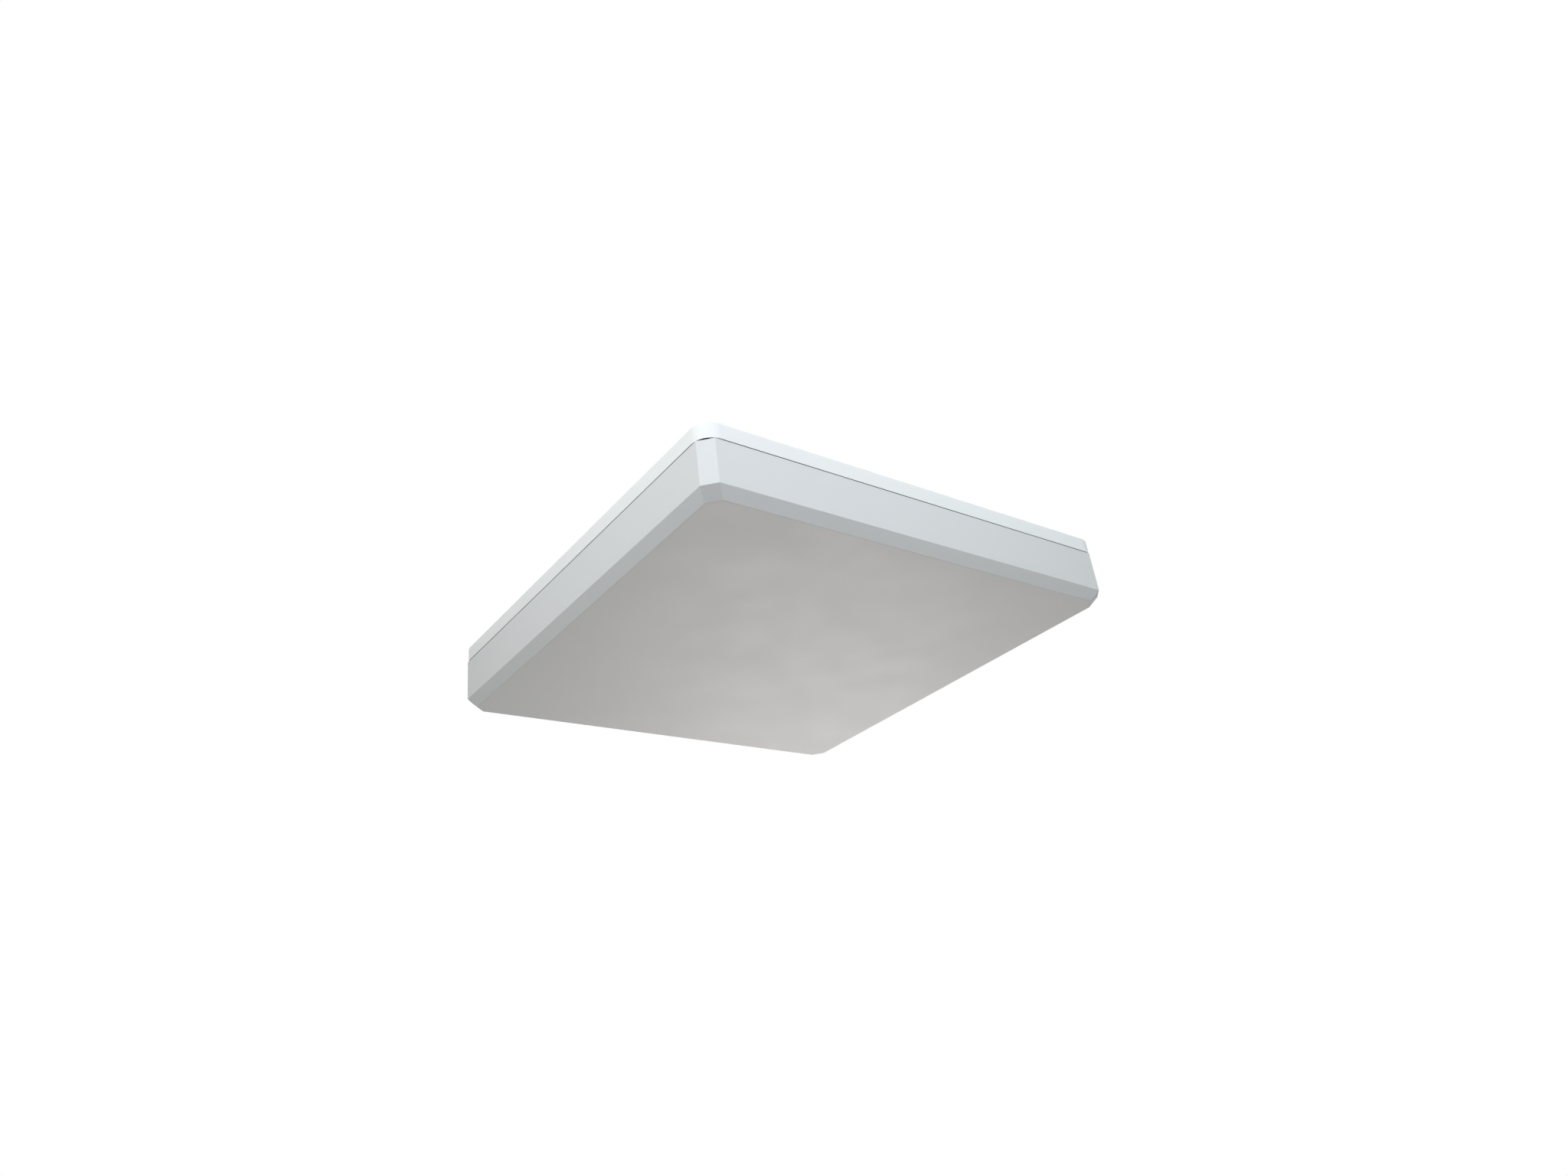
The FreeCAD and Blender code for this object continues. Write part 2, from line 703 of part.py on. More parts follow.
def cable_grommet():
    """Soft plug in the rim's cable notch, slit so that a cable can be laid through it."""
    low, top = seam_top_z + notch_sill + press_gap, rim_z - 0.3
    middle = (low + top) / 2
    inside = notch_width / 2 - press_gap
    body = box(-inside, inside, bay_back_y - 1, half - 0.3, low, top)
    flange = box(-inside - 2, inside + 2, bay_back_y - 1.2, bay_back_y - press_gap, low - 2, top)
    slit = box(-0.3, 0.3, bay_back_y - 2, half + 1, middle, top + 1)
    return body.fuse(flange).cut([slit, rod_y(0, middle, bay_back_y - 2, half + 1, 1.8)]).removeSplitter()


def lock_plate():
    """Steel plate behind the security slot, made at the middle of the +X side."""
    x1 = lip_inner_half - press_gap
    plate = box(x1 - lock_plate_sheet, x1, -lock_plate_length / 2, lock_plate_length / 2,
                lip_z + 0.5, panel_z - press_gap)
    return plate.cut(lock_slot())


def rating_label():
    y0, y1 = -(half - label_margin), recess_low_y - label_margin
    return rounded_block(0, (y0 + y1) / 2, label_width, y1 - y0, 2, rim_z, rim_z + label_thickness)


# ---- board and what stands on it

def main_board():
    board = rounded_block(0, 0, 2 * board_half, 2 * board_half, board_radius, board_low_z, board_top_z)
    notch = box(-board_notch_half, board_notch_half, board_notch_y, board_half + 1,
                board_low_z - 1, board_top_z + 1)
    holes = [rod(x, y, board_low_z - 1, board_top_z + 1, screw_radius + fit_gap) for x, y in boss_places()]
    return board.cut([notch] + holes)


def board_screw(x, y):
    low = board_low_z - screw_head_height
    head = soften(rod(x, y, low, board_low_z, screw_head_radius), 0.7, "z", low)
    shank = rod(x, y, board_low_z, board_low_z + screw_length, screw_radius)
    cross = [block(x, y, 2 * a, 2 * b, low - 1, low + 1) for a, b in ((1.5, 0.35), (0.35, 1.5))]
    return shank.fuse(head).cut(cross)


def top_chip(x, y, width, depth, height):
    """Package on the board's upper face, towards the base."""
    return block(x, y, width, depth, board_top_z, board_top_z + height)


def low_chip(x, y, width, depth, height):
    """Package on the board's lower face, towards the room."""
    return block(x, y, width, depth, board_low_z - height, board_low_z)


def lan_transformer(x):
    y = port_y - jack_length - lan_gap - lan_depth / 2
    return top_chip(x, y, jack_width - 1, lan_depth, 5.5)


def ethernet_controller(x):
    return top_chip(x, port_y - jack_length - lan_gap - lan_depth - 5.5, 9, 9, 0.9)


def capacitor(offset, y, radius, height):
    """Aluminium can on its square plastic base."""
    x, top = power_column_x + offset, board_top_z + height
    can = soften(rod(x, y, board_top_z + 0.4, top, radius), 0.5, "z", top)
    return can.fuse(block(x, y, 2 * radius, 2 * radius, board_top_z, board_top_z + 0.8))


def power_inductor(offset):
    return rounded_block(power_column_x + offset, 34, 11, 11, 2, board_top_z, board_top_z + 6)


def power_transformer():
    """Ferrite core with two windows, and the wound bobbin that fills them round its middle leg."""
    x, y, z = power_column_x - 5, -30, board_top_z
    leg = block(x, y, 5.8, 8, z + 2, z + 10)
    windows = [block(x + side * 5.2, y, 4.6, 8, z + 2, z + 10) for side in (-1, 1)]
    core = block(x, y, 20, 7, z + 0.5, z + 12).cut(windows)
    bobbin = block(x, y, 14.6, 17, z + 2.2, z + 9.8).cut(leg)
    feet = [block(x, y + side * 7, 13, 3, z, z + 3) for side in (-1, 1)]
    return core, bobbin.fuse(feet).removeSplitter()


def shield_places():
    return [(-shield_x, shield_y), (shield_x, shield_y)]


def radio_shield(x, y):
    """Drawn tin can with a field of small vent holes."""
    low, t = board_low_z - shield_height, shield_sheet
    outer = rounded_block(x, y, shield_width, shield_depth, 1.2, low, board_low_z)
    inner = rounded_block(x, y, shield_width - 2 * t, shield_depth - 2 * t, 0.9, low + t, board_low_z + 1)
    vents = [rod(x + 6 * i, y + 6 * j, low - 1, low + 1, 0.8) for i in range(-2, 3) for j in (-1, 0, 1)]
    return outer.cut([inner] + vents)


def dual_band_antenna(side_x, y):
    """Folded sheet aerial: a slotted roof on a shorting wall and a feed leg."""
    t, w, s = antenna_sheet, antenna_width / 2, antenna_length / 2
    z = antenna_roof_z
    roof = box(-w, w, -s, s, z, z + t)
    slits = [box(-w + 1.8, w + 1, -1.2, 0.2, z - 1, z + 1), box(-1.2, 0.2, 0, s - 4, z - 1, z + 1)]
    legs = [box(-w, -w + t, a, b, z, board_low_z) for a, b in ((-9, 1.5), (4.5, 6.5))]
    tail = box(w - t, w, -s, -s + 9, z, z + 2)
    solid = roof.cut(slits).fuse(legs + [tail]).removeSplitter()
    if side_x > 0:
        solid.rotate(V(0, 0, 0), V(0, 0, 1), 180)
    solid.translate(V(side_x * (board_half - antenna_inset), y, 0))
    return solid


def scan_antenna():
    """Small folded aerial of the third radio."""
    x, y, z, t = scan_antenna_x, -(board_half - scan_antenna_inset), antenna_roof_z + 1.2, antenna_sheet
    legs = [box(x + a, x + a + 2, y - 2.5, y - 2.5 + t, z, board_low_z) for a in (-9, -3)]
    return block(x, y, 18, 5, z, z + t).fuse(legs).removeSplitter()


# ---- front cover and light pipe

def inner_cut(outer_cut):
    """Corner cut of the outline that lies one cover wall inside."""
    return outer_cut - 2 * cover_wall * (1 - math.sqrt(0.5))


def cover_inside():
    """Hollow of the cover, one wall thickness inside its side, chamfer and face."""
    run = math.hypot(chamfer_inset, chamfer_height)
    x = half - cover_wall * chamfer_height / run        # start of the inner chamfer's line
    z = chamfer_z + cover_wall * chamfer_inset / run
    wall_z = z - (x - cover_inner_half) / chamfer_inset * chamfer_height
    floor_half = x - (z - cover_inner_z) / chamfer_height * chamfer_inset
    wall = (cover_inner_half, inner_cut(cover_corner_cut))
    upper = cut_corner_block(wall + (wall_z,), wall + (cover_top_z + 1,))
    lower = cut_corner_block((floor_half, inner_cut(face_corner_cut), cover_inner_z), wall + (wall_z,))
    return upper.fuse(lower).removeSplitter()


def cover_outside():
    wall = cut_corner_block((half, cover_corner_cut, chamfer_z), (half, cover_corner_cut, cover_top_z))
    taper = cut_corner_block((face_half, face_corner_cut, face_z), (half, cover_corner_cut, chamfer_z))
    solid = wall.fuse(taper).removeSplitter()
    edges = [e for e in solid.Edges if e.BoundBox.ZMin < cover_top_z - 1e-3]
    return solid.makeFillet(cover_edge_round, edges)


def clip_ledge():
    """Catch inside the cover's wall, made at the middle of the +X side."""
    x1, x0 = cover_inner_half + 0.5, cover_inner_half - ledge_reach
    profile = [(x1, ledge_top_z + 0.8), (cover_inner_half, ledge_top_z + 0.8), (x0, ledge_top_z),
               (x0, ledge_low_z), (x1, ledge_low_z)]
    points = [V(x, -ledge_width / 2, z) for x, z in profile]
    return Part.Face(Part.makePolygon(points + [points[0]])).extrude(V(0, ledge_width, 0))


def stiffening_ribs():
    """Low ribs inside the face; the middle one stops short of the light pipe's boss."""
    reach = face_half - rib_margin
    z0, z1 = cover_inner_z - 0.5, cover_inner_z + rib_height
    ribs = []
    for place in (-rib_pitch, 0, rib_pitch):
        start = light_y + 8 if place == 0 else -reach
        ribs.append(box(place - rib_width / 2, place + rib_width / 2, start, reach, z0, z1))
        ribs.append(box(-reach, reach, place - rib_width / 2, place + rib_width / 2, z0, z1))
    return ribs


def front_cover():
    shell = cover_outside().cut(cover_inside())
    ledges = [place_on_side(clip_ledge(), turn, along) for turn, along in clip_places()]
    boss_top = pipe_top_z - pipe_flange_height - press_gap
    boss = rod(0, light_y, cover_inner_z - 0.5, boss_top, pipe_radius + pipe_boss_wall)
    shell = shell.fuse(ledges + [boss] + stiffening_ribs()).removeSplitter()
    return shell.cut(rod(0, light_y, face_z + window_skin, boss_top + 1, pipe_radius + press_gap))


def light_pipe():
    pipe = rod(0, light_y, face_z + window_skin + press_gap, pipe_top_z, pipe_radius)
    flange = rod(0, light_y, pipe_top_z - pipe_flange_height, pipe_top_z, pipe_radius + 1)
    return pipe.fuse(flange).removeSplitter()


# ---- write every node

def write_bracket():
    export("ceiling_bracket", ceiling_bracket())
    export("latch_spring", latch_spring())
    export("latch_rivets", [latch_rivet(y) for y in rivet_places])


def write_housing():
    export("rear_base", rear_base())
    export("perimeter_seal", perimeter_seal())
    export("bracket_studs", [bracket_stud(x, y) for x, y in stud_places()])
    export("rubber_feet", [rubber_foot(x, y) for x, y in corners_of(foot_place, foot_place)])
    export("cable_grommet", cable_grommet())
    export("security_slot_plate", place_on_side(lock_plate(), 0, lock_place))
    export("rating_label", rating_label())
    export("cover_clips", [place_on_side(spring_clip(), turn, along) for turn, along in clip_places()])
    export("clip_screws", [place_on_side(clip_screw(), turn, along) for turn, along in clip_places()])


def write_ports():
    export_each("ethernet_jack_shell", [ethernet_shell(x) for x in jack_xs])
    export_each("ethernet_jack_insert", [ethernet_insert(x) for x in jack_xs])
    for number, x in enumerate(jack_xs, 1):
        wires = [ethernet_contact(x, n) for n in range(contact_count)]
        export("ethernet_jack_contacts_" + str(number), wires)
    export("port_lights", [port_light(x, side, port_y - 6, port_y) for x in jack_xs for side in (-1, 1)])
    export("usb_port_shell", usb_shell())
    export("usb_port_tongue", usb_tongue())
    export("power_jack", power_jack())
    export("power_jack_pin", power_pin())
    export("reset_switch", reset_switch())
    export("reset_button", reset_button())
    export("reset_plunger", reset_plunger())


def write_board():
    export("main_board", main_board())
    export("board_screws", [board_screw(x, y) for x, y in boss_places()])
    export("processor", top_chip(processor_x, processor_y, processor_width, processor_width,
                                 processor_height))
    export("heat_pad", block(processor_x, processor_y, heat_pad_width, heat_pad_width,
                             board_top_z + processor_height,
                             board_top_z + processor_height + heat_pad_height))
    export_each("memory_chip", [top_chip(x, processor_y, 9, 13, 1.1) for x in (14, 27)])
    export("flash_chip", top_chip(14, -38, 12, 18, 1.2))
    export_each("ethernet_controller", [ethernet_controller(x) for x in jack_xs])
    export_each("lan_transformer", [lan_transformer(x) for x in jack_xs])
    export("bulk_capacitors", [capacitor(offset, 4, 5, 11.5) for offset in (-6.5, 6.5)])
    export("small_capacitors", [capacitor(offset, 20, 3.2, 8) for offset in (-9, 0, 9)])
    export_each("power_inductor", [power_inductor(offset) for offset in (-7, 7)])
    core, bobbin = power_transformer()
    export("power_transformer_core", core)
    export("power_transformer_bobbin", bobbin)
    export_each("radio_chip", [low_chip(x, y, 14, 14, 1.1) for x, y in shield_places()])
    export_each("radio_shield", [radio_shield(x, y) for x, y in shield_places()])
    export_each("wifi_antenna", [dual_band_antenna(side, y) for side in (-1, 1) for y in (-62, 50)])
    export("scan_antenna", scan_antenna())
    export("status_light", low_chip(0, light_y, 3.2, 2.8, light_height))


def write_cover():
    export("front_cover", front_cover())
    export("light_pipe", light_pipe())


os.makedirs("parts", exist_ok=True)
write_bracket()
write_housing()
write_ports()
write_board()
write_cover()
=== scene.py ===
import json
import math
import random

import bmesh
import bpy
from mathutils import Matrix, Vector


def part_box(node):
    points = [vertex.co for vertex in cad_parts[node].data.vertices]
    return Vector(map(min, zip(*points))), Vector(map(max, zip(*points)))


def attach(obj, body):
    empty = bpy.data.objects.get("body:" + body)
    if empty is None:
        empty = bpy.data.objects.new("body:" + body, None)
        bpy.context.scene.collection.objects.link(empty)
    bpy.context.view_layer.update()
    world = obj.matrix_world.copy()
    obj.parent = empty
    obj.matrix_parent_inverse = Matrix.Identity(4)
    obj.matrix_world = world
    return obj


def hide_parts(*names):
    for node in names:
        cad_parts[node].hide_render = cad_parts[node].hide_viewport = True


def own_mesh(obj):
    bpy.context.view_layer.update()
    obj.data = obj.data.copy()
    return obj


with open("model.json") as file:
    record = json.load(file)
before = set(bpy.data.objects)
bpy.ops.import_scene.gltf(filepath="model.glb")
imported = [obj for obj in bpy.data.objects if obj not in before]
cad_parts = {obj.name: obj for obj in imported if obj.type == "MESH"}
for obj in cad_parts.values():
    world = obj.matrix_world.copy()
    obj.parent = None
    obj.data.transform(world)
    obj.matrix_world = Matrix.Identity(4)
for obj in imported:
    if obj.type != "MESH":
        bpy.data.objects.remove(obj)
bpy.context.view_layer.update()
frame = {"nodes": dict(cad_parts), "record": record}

scene = bpy.context.scene
scene.view_settings.view_transform = "Standard"
mm = 0.001
print("access point: frame loaded,", len(frame["nodes"]), "nodes")


# camera, below the near corner and looking up at the flat face
cameraSetup = {
    "place": (-0.3159, -0.3936, -0.2540),
    "heading": 39.55,   # degrees from +Y towards +X
    "pitch": 27.04,     # degrees above level
    "roll": -7.56,
    "lens": 26.70,
    "sensor": 36.0,
}


def addCamera():
    data = bpy.data.cameras.new("viewCamera")
    data.lens = cameraSetup["lens"]
    data.sensor_width = cameraSetup["sensor"]
    data.clip_start = 0.01
    data.clip_end = 50
    camera = bpy.data.objects.new("viewCamera", data)
    scene.collection.objects.link(camera)
    heading, pitch, roll = (math.radians(cameraSetup[key]) for key in ("heading", "pitch", "roll"))
    aim = Vector((math.sin(heading) * math.cos(pitch), math.cos(heading) * math.cos(pitch), math.sin(pitch)))
    level = Vector((math.cos(heading), -math.sin(heading), 0))
    right = level * math.cos(roll) + level.cross(aim) * math.sin(roll)
    turn = Matrix((right, right.cross(aim), -aim)).transposed().to_4x4()
    camera.matrix_world = Matrix.Translation(cameraSetup["place"]) @ turn
    scene.camera = camera


# studio: white surround, a pale floor far below, soft lamps
studio = {
    "floorDrop": 0.9,
    "floorSize": 60.0,
    "floorColour": (0.86, 0.855, 0.84),
    "floorGlow": (1.0, 1.0, 1.0),    # what the eye sees of it, however little light falls there
    "floorShare": 0.75,
    "floorFade": (1.2, 6.0),
    "skyLow": (0.20, 0.20, 0.20),
    "skyLevel": (0.25, 0.25, 0.25),
    "skyHigh": (0.30, 0.30, 0.30),
    "lamps": {
        "frontLamp": {"place": (0.06, -0.42, 0.08), "aim": (0.0, -0.1, -0.02), "size": 0.30,
                      "power": 0.515, "colour": (0.89, 1.0, 0.99)},
        "leftLamp": {"place": (-0.42, 0.06, 0.08), "aim": (-0.1, 0.0, -0.02), "size": 0.30,
                     "power": 0.293, "colour": (1.0, 0.925, 0.884)},
        "frontCornerLamp": {"place": (-0.20, -0.45, 0.10), "aim": (-0.08, -0.1, -0.02), "size": 0.30,
                            "power": 0.542, "colour": (0.94, 0.91, 1.0)},
        "leftCornerLamp": {"place": (-0.45, -0.20, 0.10), "aim": (-0.1, -0.08, -0.02), "size": 0.30,
                           "power": 0.822, "colour": (0.907, 0.985, 1.0)},
        "lowLamp": {"place": (0.42, 0.46, -0.42), "aim": (0.08, 0.08, -0.03), "size": 0.40,
                    "power": 2.07, "colour": (1.0, 0.952, 0.914)},
        "topLamp": {"place": (0.10, 0.12, 0.55), "aim": (0, 0, 0), "size": 0.70, "reach": 60.0,
                    "power": 0.32, "colour": (1.0, 1.0, 1.0), "mirrored": False},
        "topGlow": {"place": (0.10, 0.12, 0.53), "aim": (0, 0, 0), "size": 0.70, "reach": 60.0,
                    "power": 0.13, "colour": (1.0, 1.0, 1.0)},
        "rightLamp": {"place": (0.58, 0.04, -0.012), "aim": (0.1, 0, -0.012), "size": 0.05, "reach": 60.0,
                      "power": 0.11, "colour": (1.0, 0.99, 0.97), "mirrored": False},
        "backLamp": {"place": (-0.04, 0.58, -0.012), "aim": (0, 0.1, -0.012), "size": 0.05, "reach": 60.0,
                     "power": 0.11, "colour": (0.97, 0.99, 1.0), "mirrored": False},
    },
}


def addLamp(name, setup):
    data = bpy.data.lights.new(name, "AREA")
    data.shape = "DISK"
    data.size = setup["size"]
    data.energy = setup["power"]
    data.color = setup["colour"]
    data.spread = math.radians(setup.get("reach", 180.0))
    lamp = bpy.data.objects.new(name, data)
    lamp.location = setup["place"]
    lamp.rotation_mode = "QUATERNION"
    lamp.rotation_quaternion = (Vector(setup["aim"]) - Vector(setup["place"])).to_track_quat("-Z", "Y")
    lamp.visible_camera = False
    lamp.visible_glossy = setup.get("mirrored", True)
    scene.collection.objects.link(lamp)


def addWorld():
    world = bpy.data.worlds.new("studioWorld")
    world.use_nodes = True
    scene.world = world
    nodes, links = world.node_tree.nodes, world.node_tree.links
    nodes.clear()
    place = nodes.new("ShaderNodeTexCoord")
    split = nodes.new("ShaderNodeSeparateXYZ")
    height = nodes.new("ShaderNodeMapRange")
    height.inputs["From Min"].default_value = -1
    ramp = nodes.new("ShaderNodeValToRGB")
    ramp.color_ramp.elements[0].color = studio["skyLow"] + (1,)
    ramp.color_ramp.elements[1].color = studio["skyHigh"] + (1,)
    level = ramp.color_ramp.elements.new(0.5)
    level.color = studio["skyLevel"] + (1,)
    soft = nodes.new("ShaderNodeBackground")
    white = nodes.new("ShaderNodeBackground")
    white.inputs["Color"].default_value = (1, 1, 1, 1)
    rays = nodes.new("ShaderNodeLightPath")
    mix = nodes.new("ShaderNodeMixShader")
    out = nodes.new("ShaderNodeOutputWorld")
    links.new(place.outputs["Generated"], split.inputs[0])
    links.new(split.outputs["Z"], height.inputs["Value"])
    links.new(height.outputs[0], ramp.inputs[0])
    links.new(ramp.outputs["Color"], soft.inputs["Color"])
    links.new(rays.outputs["Is Camera Ray"], mix.inputs[0])
    links.new(soft.outputs[0], mix.inputs[1])
    links.new(white.outputs[0], mix.inputs[2])
    links.new(mix.outputs[0], out.inputs["Surface"])


def addFloor():
    mesh = bpy.data.meshes.new("studioFloor")
    half = studio["floorSize"] / 2
    low = -studio["floorDrop"]
    mesh.from_pydata([(-half, -half, low), (half, -half, low), (half, half, low), (-half, half, low)],
                     [], [(0, 1, 2, 3)])
    floor = bpy.data.objects.new("studioFloor", mesh)
    scene.collection.objects.link(floor)
    material = bpy.data.materials.new("floorPaper")
    material.use_nodes = True
    nodes, links = material.node_tree.nodes, material.node_tree.links
    shader = nodes["Principled BSDF"]
    shader.inputs["Base Color"].default_value = studio["floorColour"] + (1,)
    shader.inputs["Roughness"].default_value = 0.9
    glow = nodes.new("ShaderNodeEmission")
    glow.inputs["Color"].default_value = studio["floorGlow"] + (1,)
    rays = nodes.new("ShaderNodeLightPath")
    reach = nodes.new("ShaderNodeVectorMath")    # the paper fades into the white surround
    reach.operation = "LENGTH"
    fade = nodes.new("ShaderNodeMapRange")
    fade.inputs["From Min"].default_value, fade.inputs["From Max"].default_value = studio["floorFade"]
    fade.inputs["To Min"].default_value = studio["floorShare"]
    share = nodes.new("ShaderNodeMath")
    share.operation = "MULTIPLY"
    mix = nodes.new("ShaderNodeMixShader")
    links.new(nodes.new("ShaderNodeTexCoord").outputs["Object"], reach.inputs[0])
    links.new(reach.outputs["Value"], fade.inputs["Value"])
    links.new(rays.outputs["Is Camera Ray"], share.inputs[0])
    links.new(fade.outputs["Result"], share.inputs[1])
    links.new(share.outputs[0], mix.inputs[0])
    links.new(shader.outputs[0], mix.inputs[1])
    links.new(glow.outputs[0], mix.inputs[2])
    links.new(mix.outputs[0], nodes["Material Output"].inputs["Surface"])
    mesh.materials.append(material)


addCamera()
addWorld()
for lampName, lampSetup in studio["lamps"].items():
    addLamp(lampName, lampSetup)
addFloor()
print("access point: camera and studio ready")


# small helpers for shader trees
def startGroup(name, inputs, *outputs):    # its tree, the values given to it, the values it makes
    group = bpy.data.node_groups.new(name, "ShaderNodeTree")
    for title, value in inputs.items():
        socket = group.interface.new_socket(name=title, in_out="INPUT", socket_type="NodeSocketFloat")
        socket.default_value = value
    for title in outputs:
        group.interface.new_socket(name=title, in_out="OUTPUT", socket_type="NodeSocketFloat")
    return group, group.nodes.new("NodeGroupInput").outputs, group.nodes.new("NodeGroupOutput").inputs


def feed(tree, socket, value):
    if isinstance(value, (int, float)):
        socket.default_value = value
    else:
        tree.links.new(value, socket)


def math2(tree, kind, first, second, clamp=False):
    node = tree.nodes.new("ShaderNodeMath")
    node.operation = kind
    node.use_clamp = clamp
    feed(tree, node.inputs[0], first)
    feed(tree, node.inputs[1], second)
    return node.outputs[0]


def times(tree, first, second, clamp=False):
    return math2(tree, "MULTIPLY", first, second, clamp)


def plus(tree, first, second):
    return math2(tree, "ADD", first, second)


def perMetre(tree, size):    # how often a size in mm fits in a metre
    return math2(tree, "DIVIDE", 1000.0, size)


def spread(tree, value, low, high, toLow=0.0, toHigh=1.0):
    node = tree.nodes.new("ShaderNodeMapRange")
    for title, number in (("From Min", low), ("From Max", high), ("To Min", toLow), ("To Max", toHigh)):
        node.inputs[title].default_value = number
    tree.links.new(value, node.inputs["Value"])
    return node.outputs[0]


def objectPlace(tree):
    return tree.nodes.new("ShaderNodeTexCoord").outputs["Object"]


def faceNormal(tree):
    return tree.nodes.new("ShaderNodeNewGeometry").outputs["Normal"]


def parted(tree, vector):
    split = tree.nodes.new("ShaderNodeSeparateXYZ")
    tree.links.new(vector, split.inputs[0])
    return split.outputs


def noise(tree, scale, detail=3.0, stretch=None, roughness=0.55):
    where = objectPlace(tree)
    if stretch:
        mapping = tree.nodes.new("ShaderNodeMapping")
        mapping.inputs["Scale"].default_value = stretch
        tree.links.new(where, mapping.inputs["Vector"])
        where = mapping.outputs[0]
    node = tree.nodes.new("ShaderNodeTexNoise")
    tree.links.new(where, node.inputs["Vector"])
    feed(tree, node.inputs["Scale"], scale)
    node.inputs["Detail"].default_value = detail
    node.inputs["Roughness"].default_value = roughness
    return node.outputs["Fac"]


# shared effects
def buildGrainGroup():    # fine moulded or cast texture, cloudy shade and gloss
    group, given, made = startGroup("mouldGrain", {"Size": 0.6, "Patch Size": 25.0},
                                    "Height", "Shade", "Gloss Patch")
    scale, patch = perMetre(group, given["Size"]), perMetre(group, given["Patch Size"])
    fine = noise(group, scale, 2.0)
    coarse = noise(group, times(group, scale, 0.27), 2.0)
    feed(group, made["Height"], plus(group, times(group, fine, 0.6), times(group, coarse, 0.4)))
    feed(group, made["Shade"], spread(group, noise(group, patch, 4.0), 0.3, 0.7))
    feed(group, made["Gloss Patch"], spread(group, noise(group, times(group, patch, 2.3), 3.0), 0.35, 0.65))
    return group


def buildEdgeGroup():    # where corners are rubbed bare
    group, given, made = startGroup("edgeRub", {"Breakup": 300.0, "Amount": 1.0}, "Mask")
    bevel = group.nodes.new("ShaderNodeBevel")
    bevel.samples = 4
    bevel.inputs["Radius"].default_value = 0.0007
    dot = group.nodes.new("ShaderNodeVectorMath")
    dot.operation = "DOT_PRODUCT"
    group.links.new(bevel.outputs[0], dot.inputs[0])
    group.links.new(faceNormal(group), dot.inputs[1])
    turn = spread(group, dot.outputs["Value"], 0.995, 0.93)
    broken = spread(group, noise(group, given["Breakup"], 4.0), 0.40, 0.62)
    feed(group, made["Mask"], times(group, times(group, turn, broken, True), given["Amount"], True))
    return group


def buildDustGroup():    # what settles on faces that look up
    group, given, made = startGroup("settledDust", {"Amount": 0.3, "Fleck Size": 1.2}, "Mask")
    upward = spread(group, parted(group, faceNormal(group))["Z"], 0.3, 0.95)
    flecks = spread(group, noise(group, perMetre(group, given["Fleck Size"]), 5.0), 0.42, 0.75)
    clouds = spread(group, noise(group, 38.0, 3.0), 0.3, 0.7, 0.3, 1.0)
    laid = times(group, times(group, upward, flecks), clouds)
    feed(group, made["Mask"], times(group, laid, given["Amount"], True))
    return group


def buildBrushGroup():    # rolled or brushed sheet; at Brushed 0 the grain has no direction
    group, given, made = startGroup("brushedSheet", {"Grain Size": 0.25, "Brushed": 1.0}, "Height", "Shade")
    scale = perMetre(group, given["Grain Size"])
    lines = noise(group, scale, 3.0, stretch=(1.0, 0.035, 1.0))
    tumbled = noise(group, times(group, scale, 0.4), 4.0)
    rest = math2(group, "SUBTRACT", 1.0, given["Brushed"])
    mixed = plus(group, times(group, lines, given["Brushed"]), times(group, tumbled, rest))
    feed(group, made["Height"], mixed)
    feed(group, made["Shade"], spread(group, mixed, 0.3, 0.7))
    return group


def buildTarnishGroup():    # soft-edged stains and finger marks
    group, given, made = startGroup("tarnish", {"Patch Size": 8.0, "Amount": 0.3}, "Mask")
    clouds = noise(group, perMetre(group, given["Patch Size"]), 5.0, roughness=0.62)
    feed(group, made["Mask"], times(group, spread(group, clouds, 0.50, 0.72), given["Amount"], True))
    return group


def buildSpangleGroup():    # zinc crystals with wandering borders
    group, given, made = startGroup("zincSpangle", {"Crystal Size": 7.0}, "Shade", "Height")
    wander = group.nodes.new("ShaderNodeTexNoise")
    wander.inputs["Scale"].default_value = 260.0
    shift = group.nodes.new("ShaderNodeVectorMath")
    shift.operation = "MULTIPLY_ADD"
    shift.inputs[1].default_value = (0.004, 0.004, 0.004)
    where = objectPlace(group)
    crystals = group.nodes.new("ShaderNodeTexVoronoi")
    crystals.voronoi_dimensions = "2D"    # crystals go through the sheet
    split = group.nodes.new("ShaderNodeSeparateColor")
    group.links.new(where, wander.inputs["Vector"])
    group.links.new(wander.outputs["Color"], shift.inputs[0])
    group.links.new(where, shift.inputs[2])
    group.links.new(shift.outputs[0], crystals.inputs["Vector"])
    group.links.new(perMetre(group, given["Crystal Size"]), crystals.inputs["Scale"])
    group.links.new(crystals.outputs["Color"], split.inputs[0])
    feathers = noise(group, 1400.0, 3.0, stretch=(1.0, 0.25, 1.0))
    crystal = split.outputs[0]
    feed(group, made["Shade"], plus(group, times(group, crystal, 0.75), times(group, feathers, 0.25)))
    feed(group, made["Height"], times(group, crystal, 0.25))
    return group


def buildScratchGroup():    # thin straight marks in two directions
    group, given, made = startGroup("scratches", {"Length": 18.0, "Amount": 0.6}, "Mask")
    scale = math2(group, "DIVIDE", 9000.0, given["Length"])
    along = spread(group, noise(group, scale, 0.0, stretch=(6.0, 0.12, 1.0)), 0.68, 0.80)
    across = spread(group, noise(group, scale, 0.0, stretch=(0.15, 5.0, 1.0)), 0.72, 0.84)
    feed(group, made["Mask"], times(group, math2(group, "MAXIMUM", along, across), given["Amount"], True))
    return group


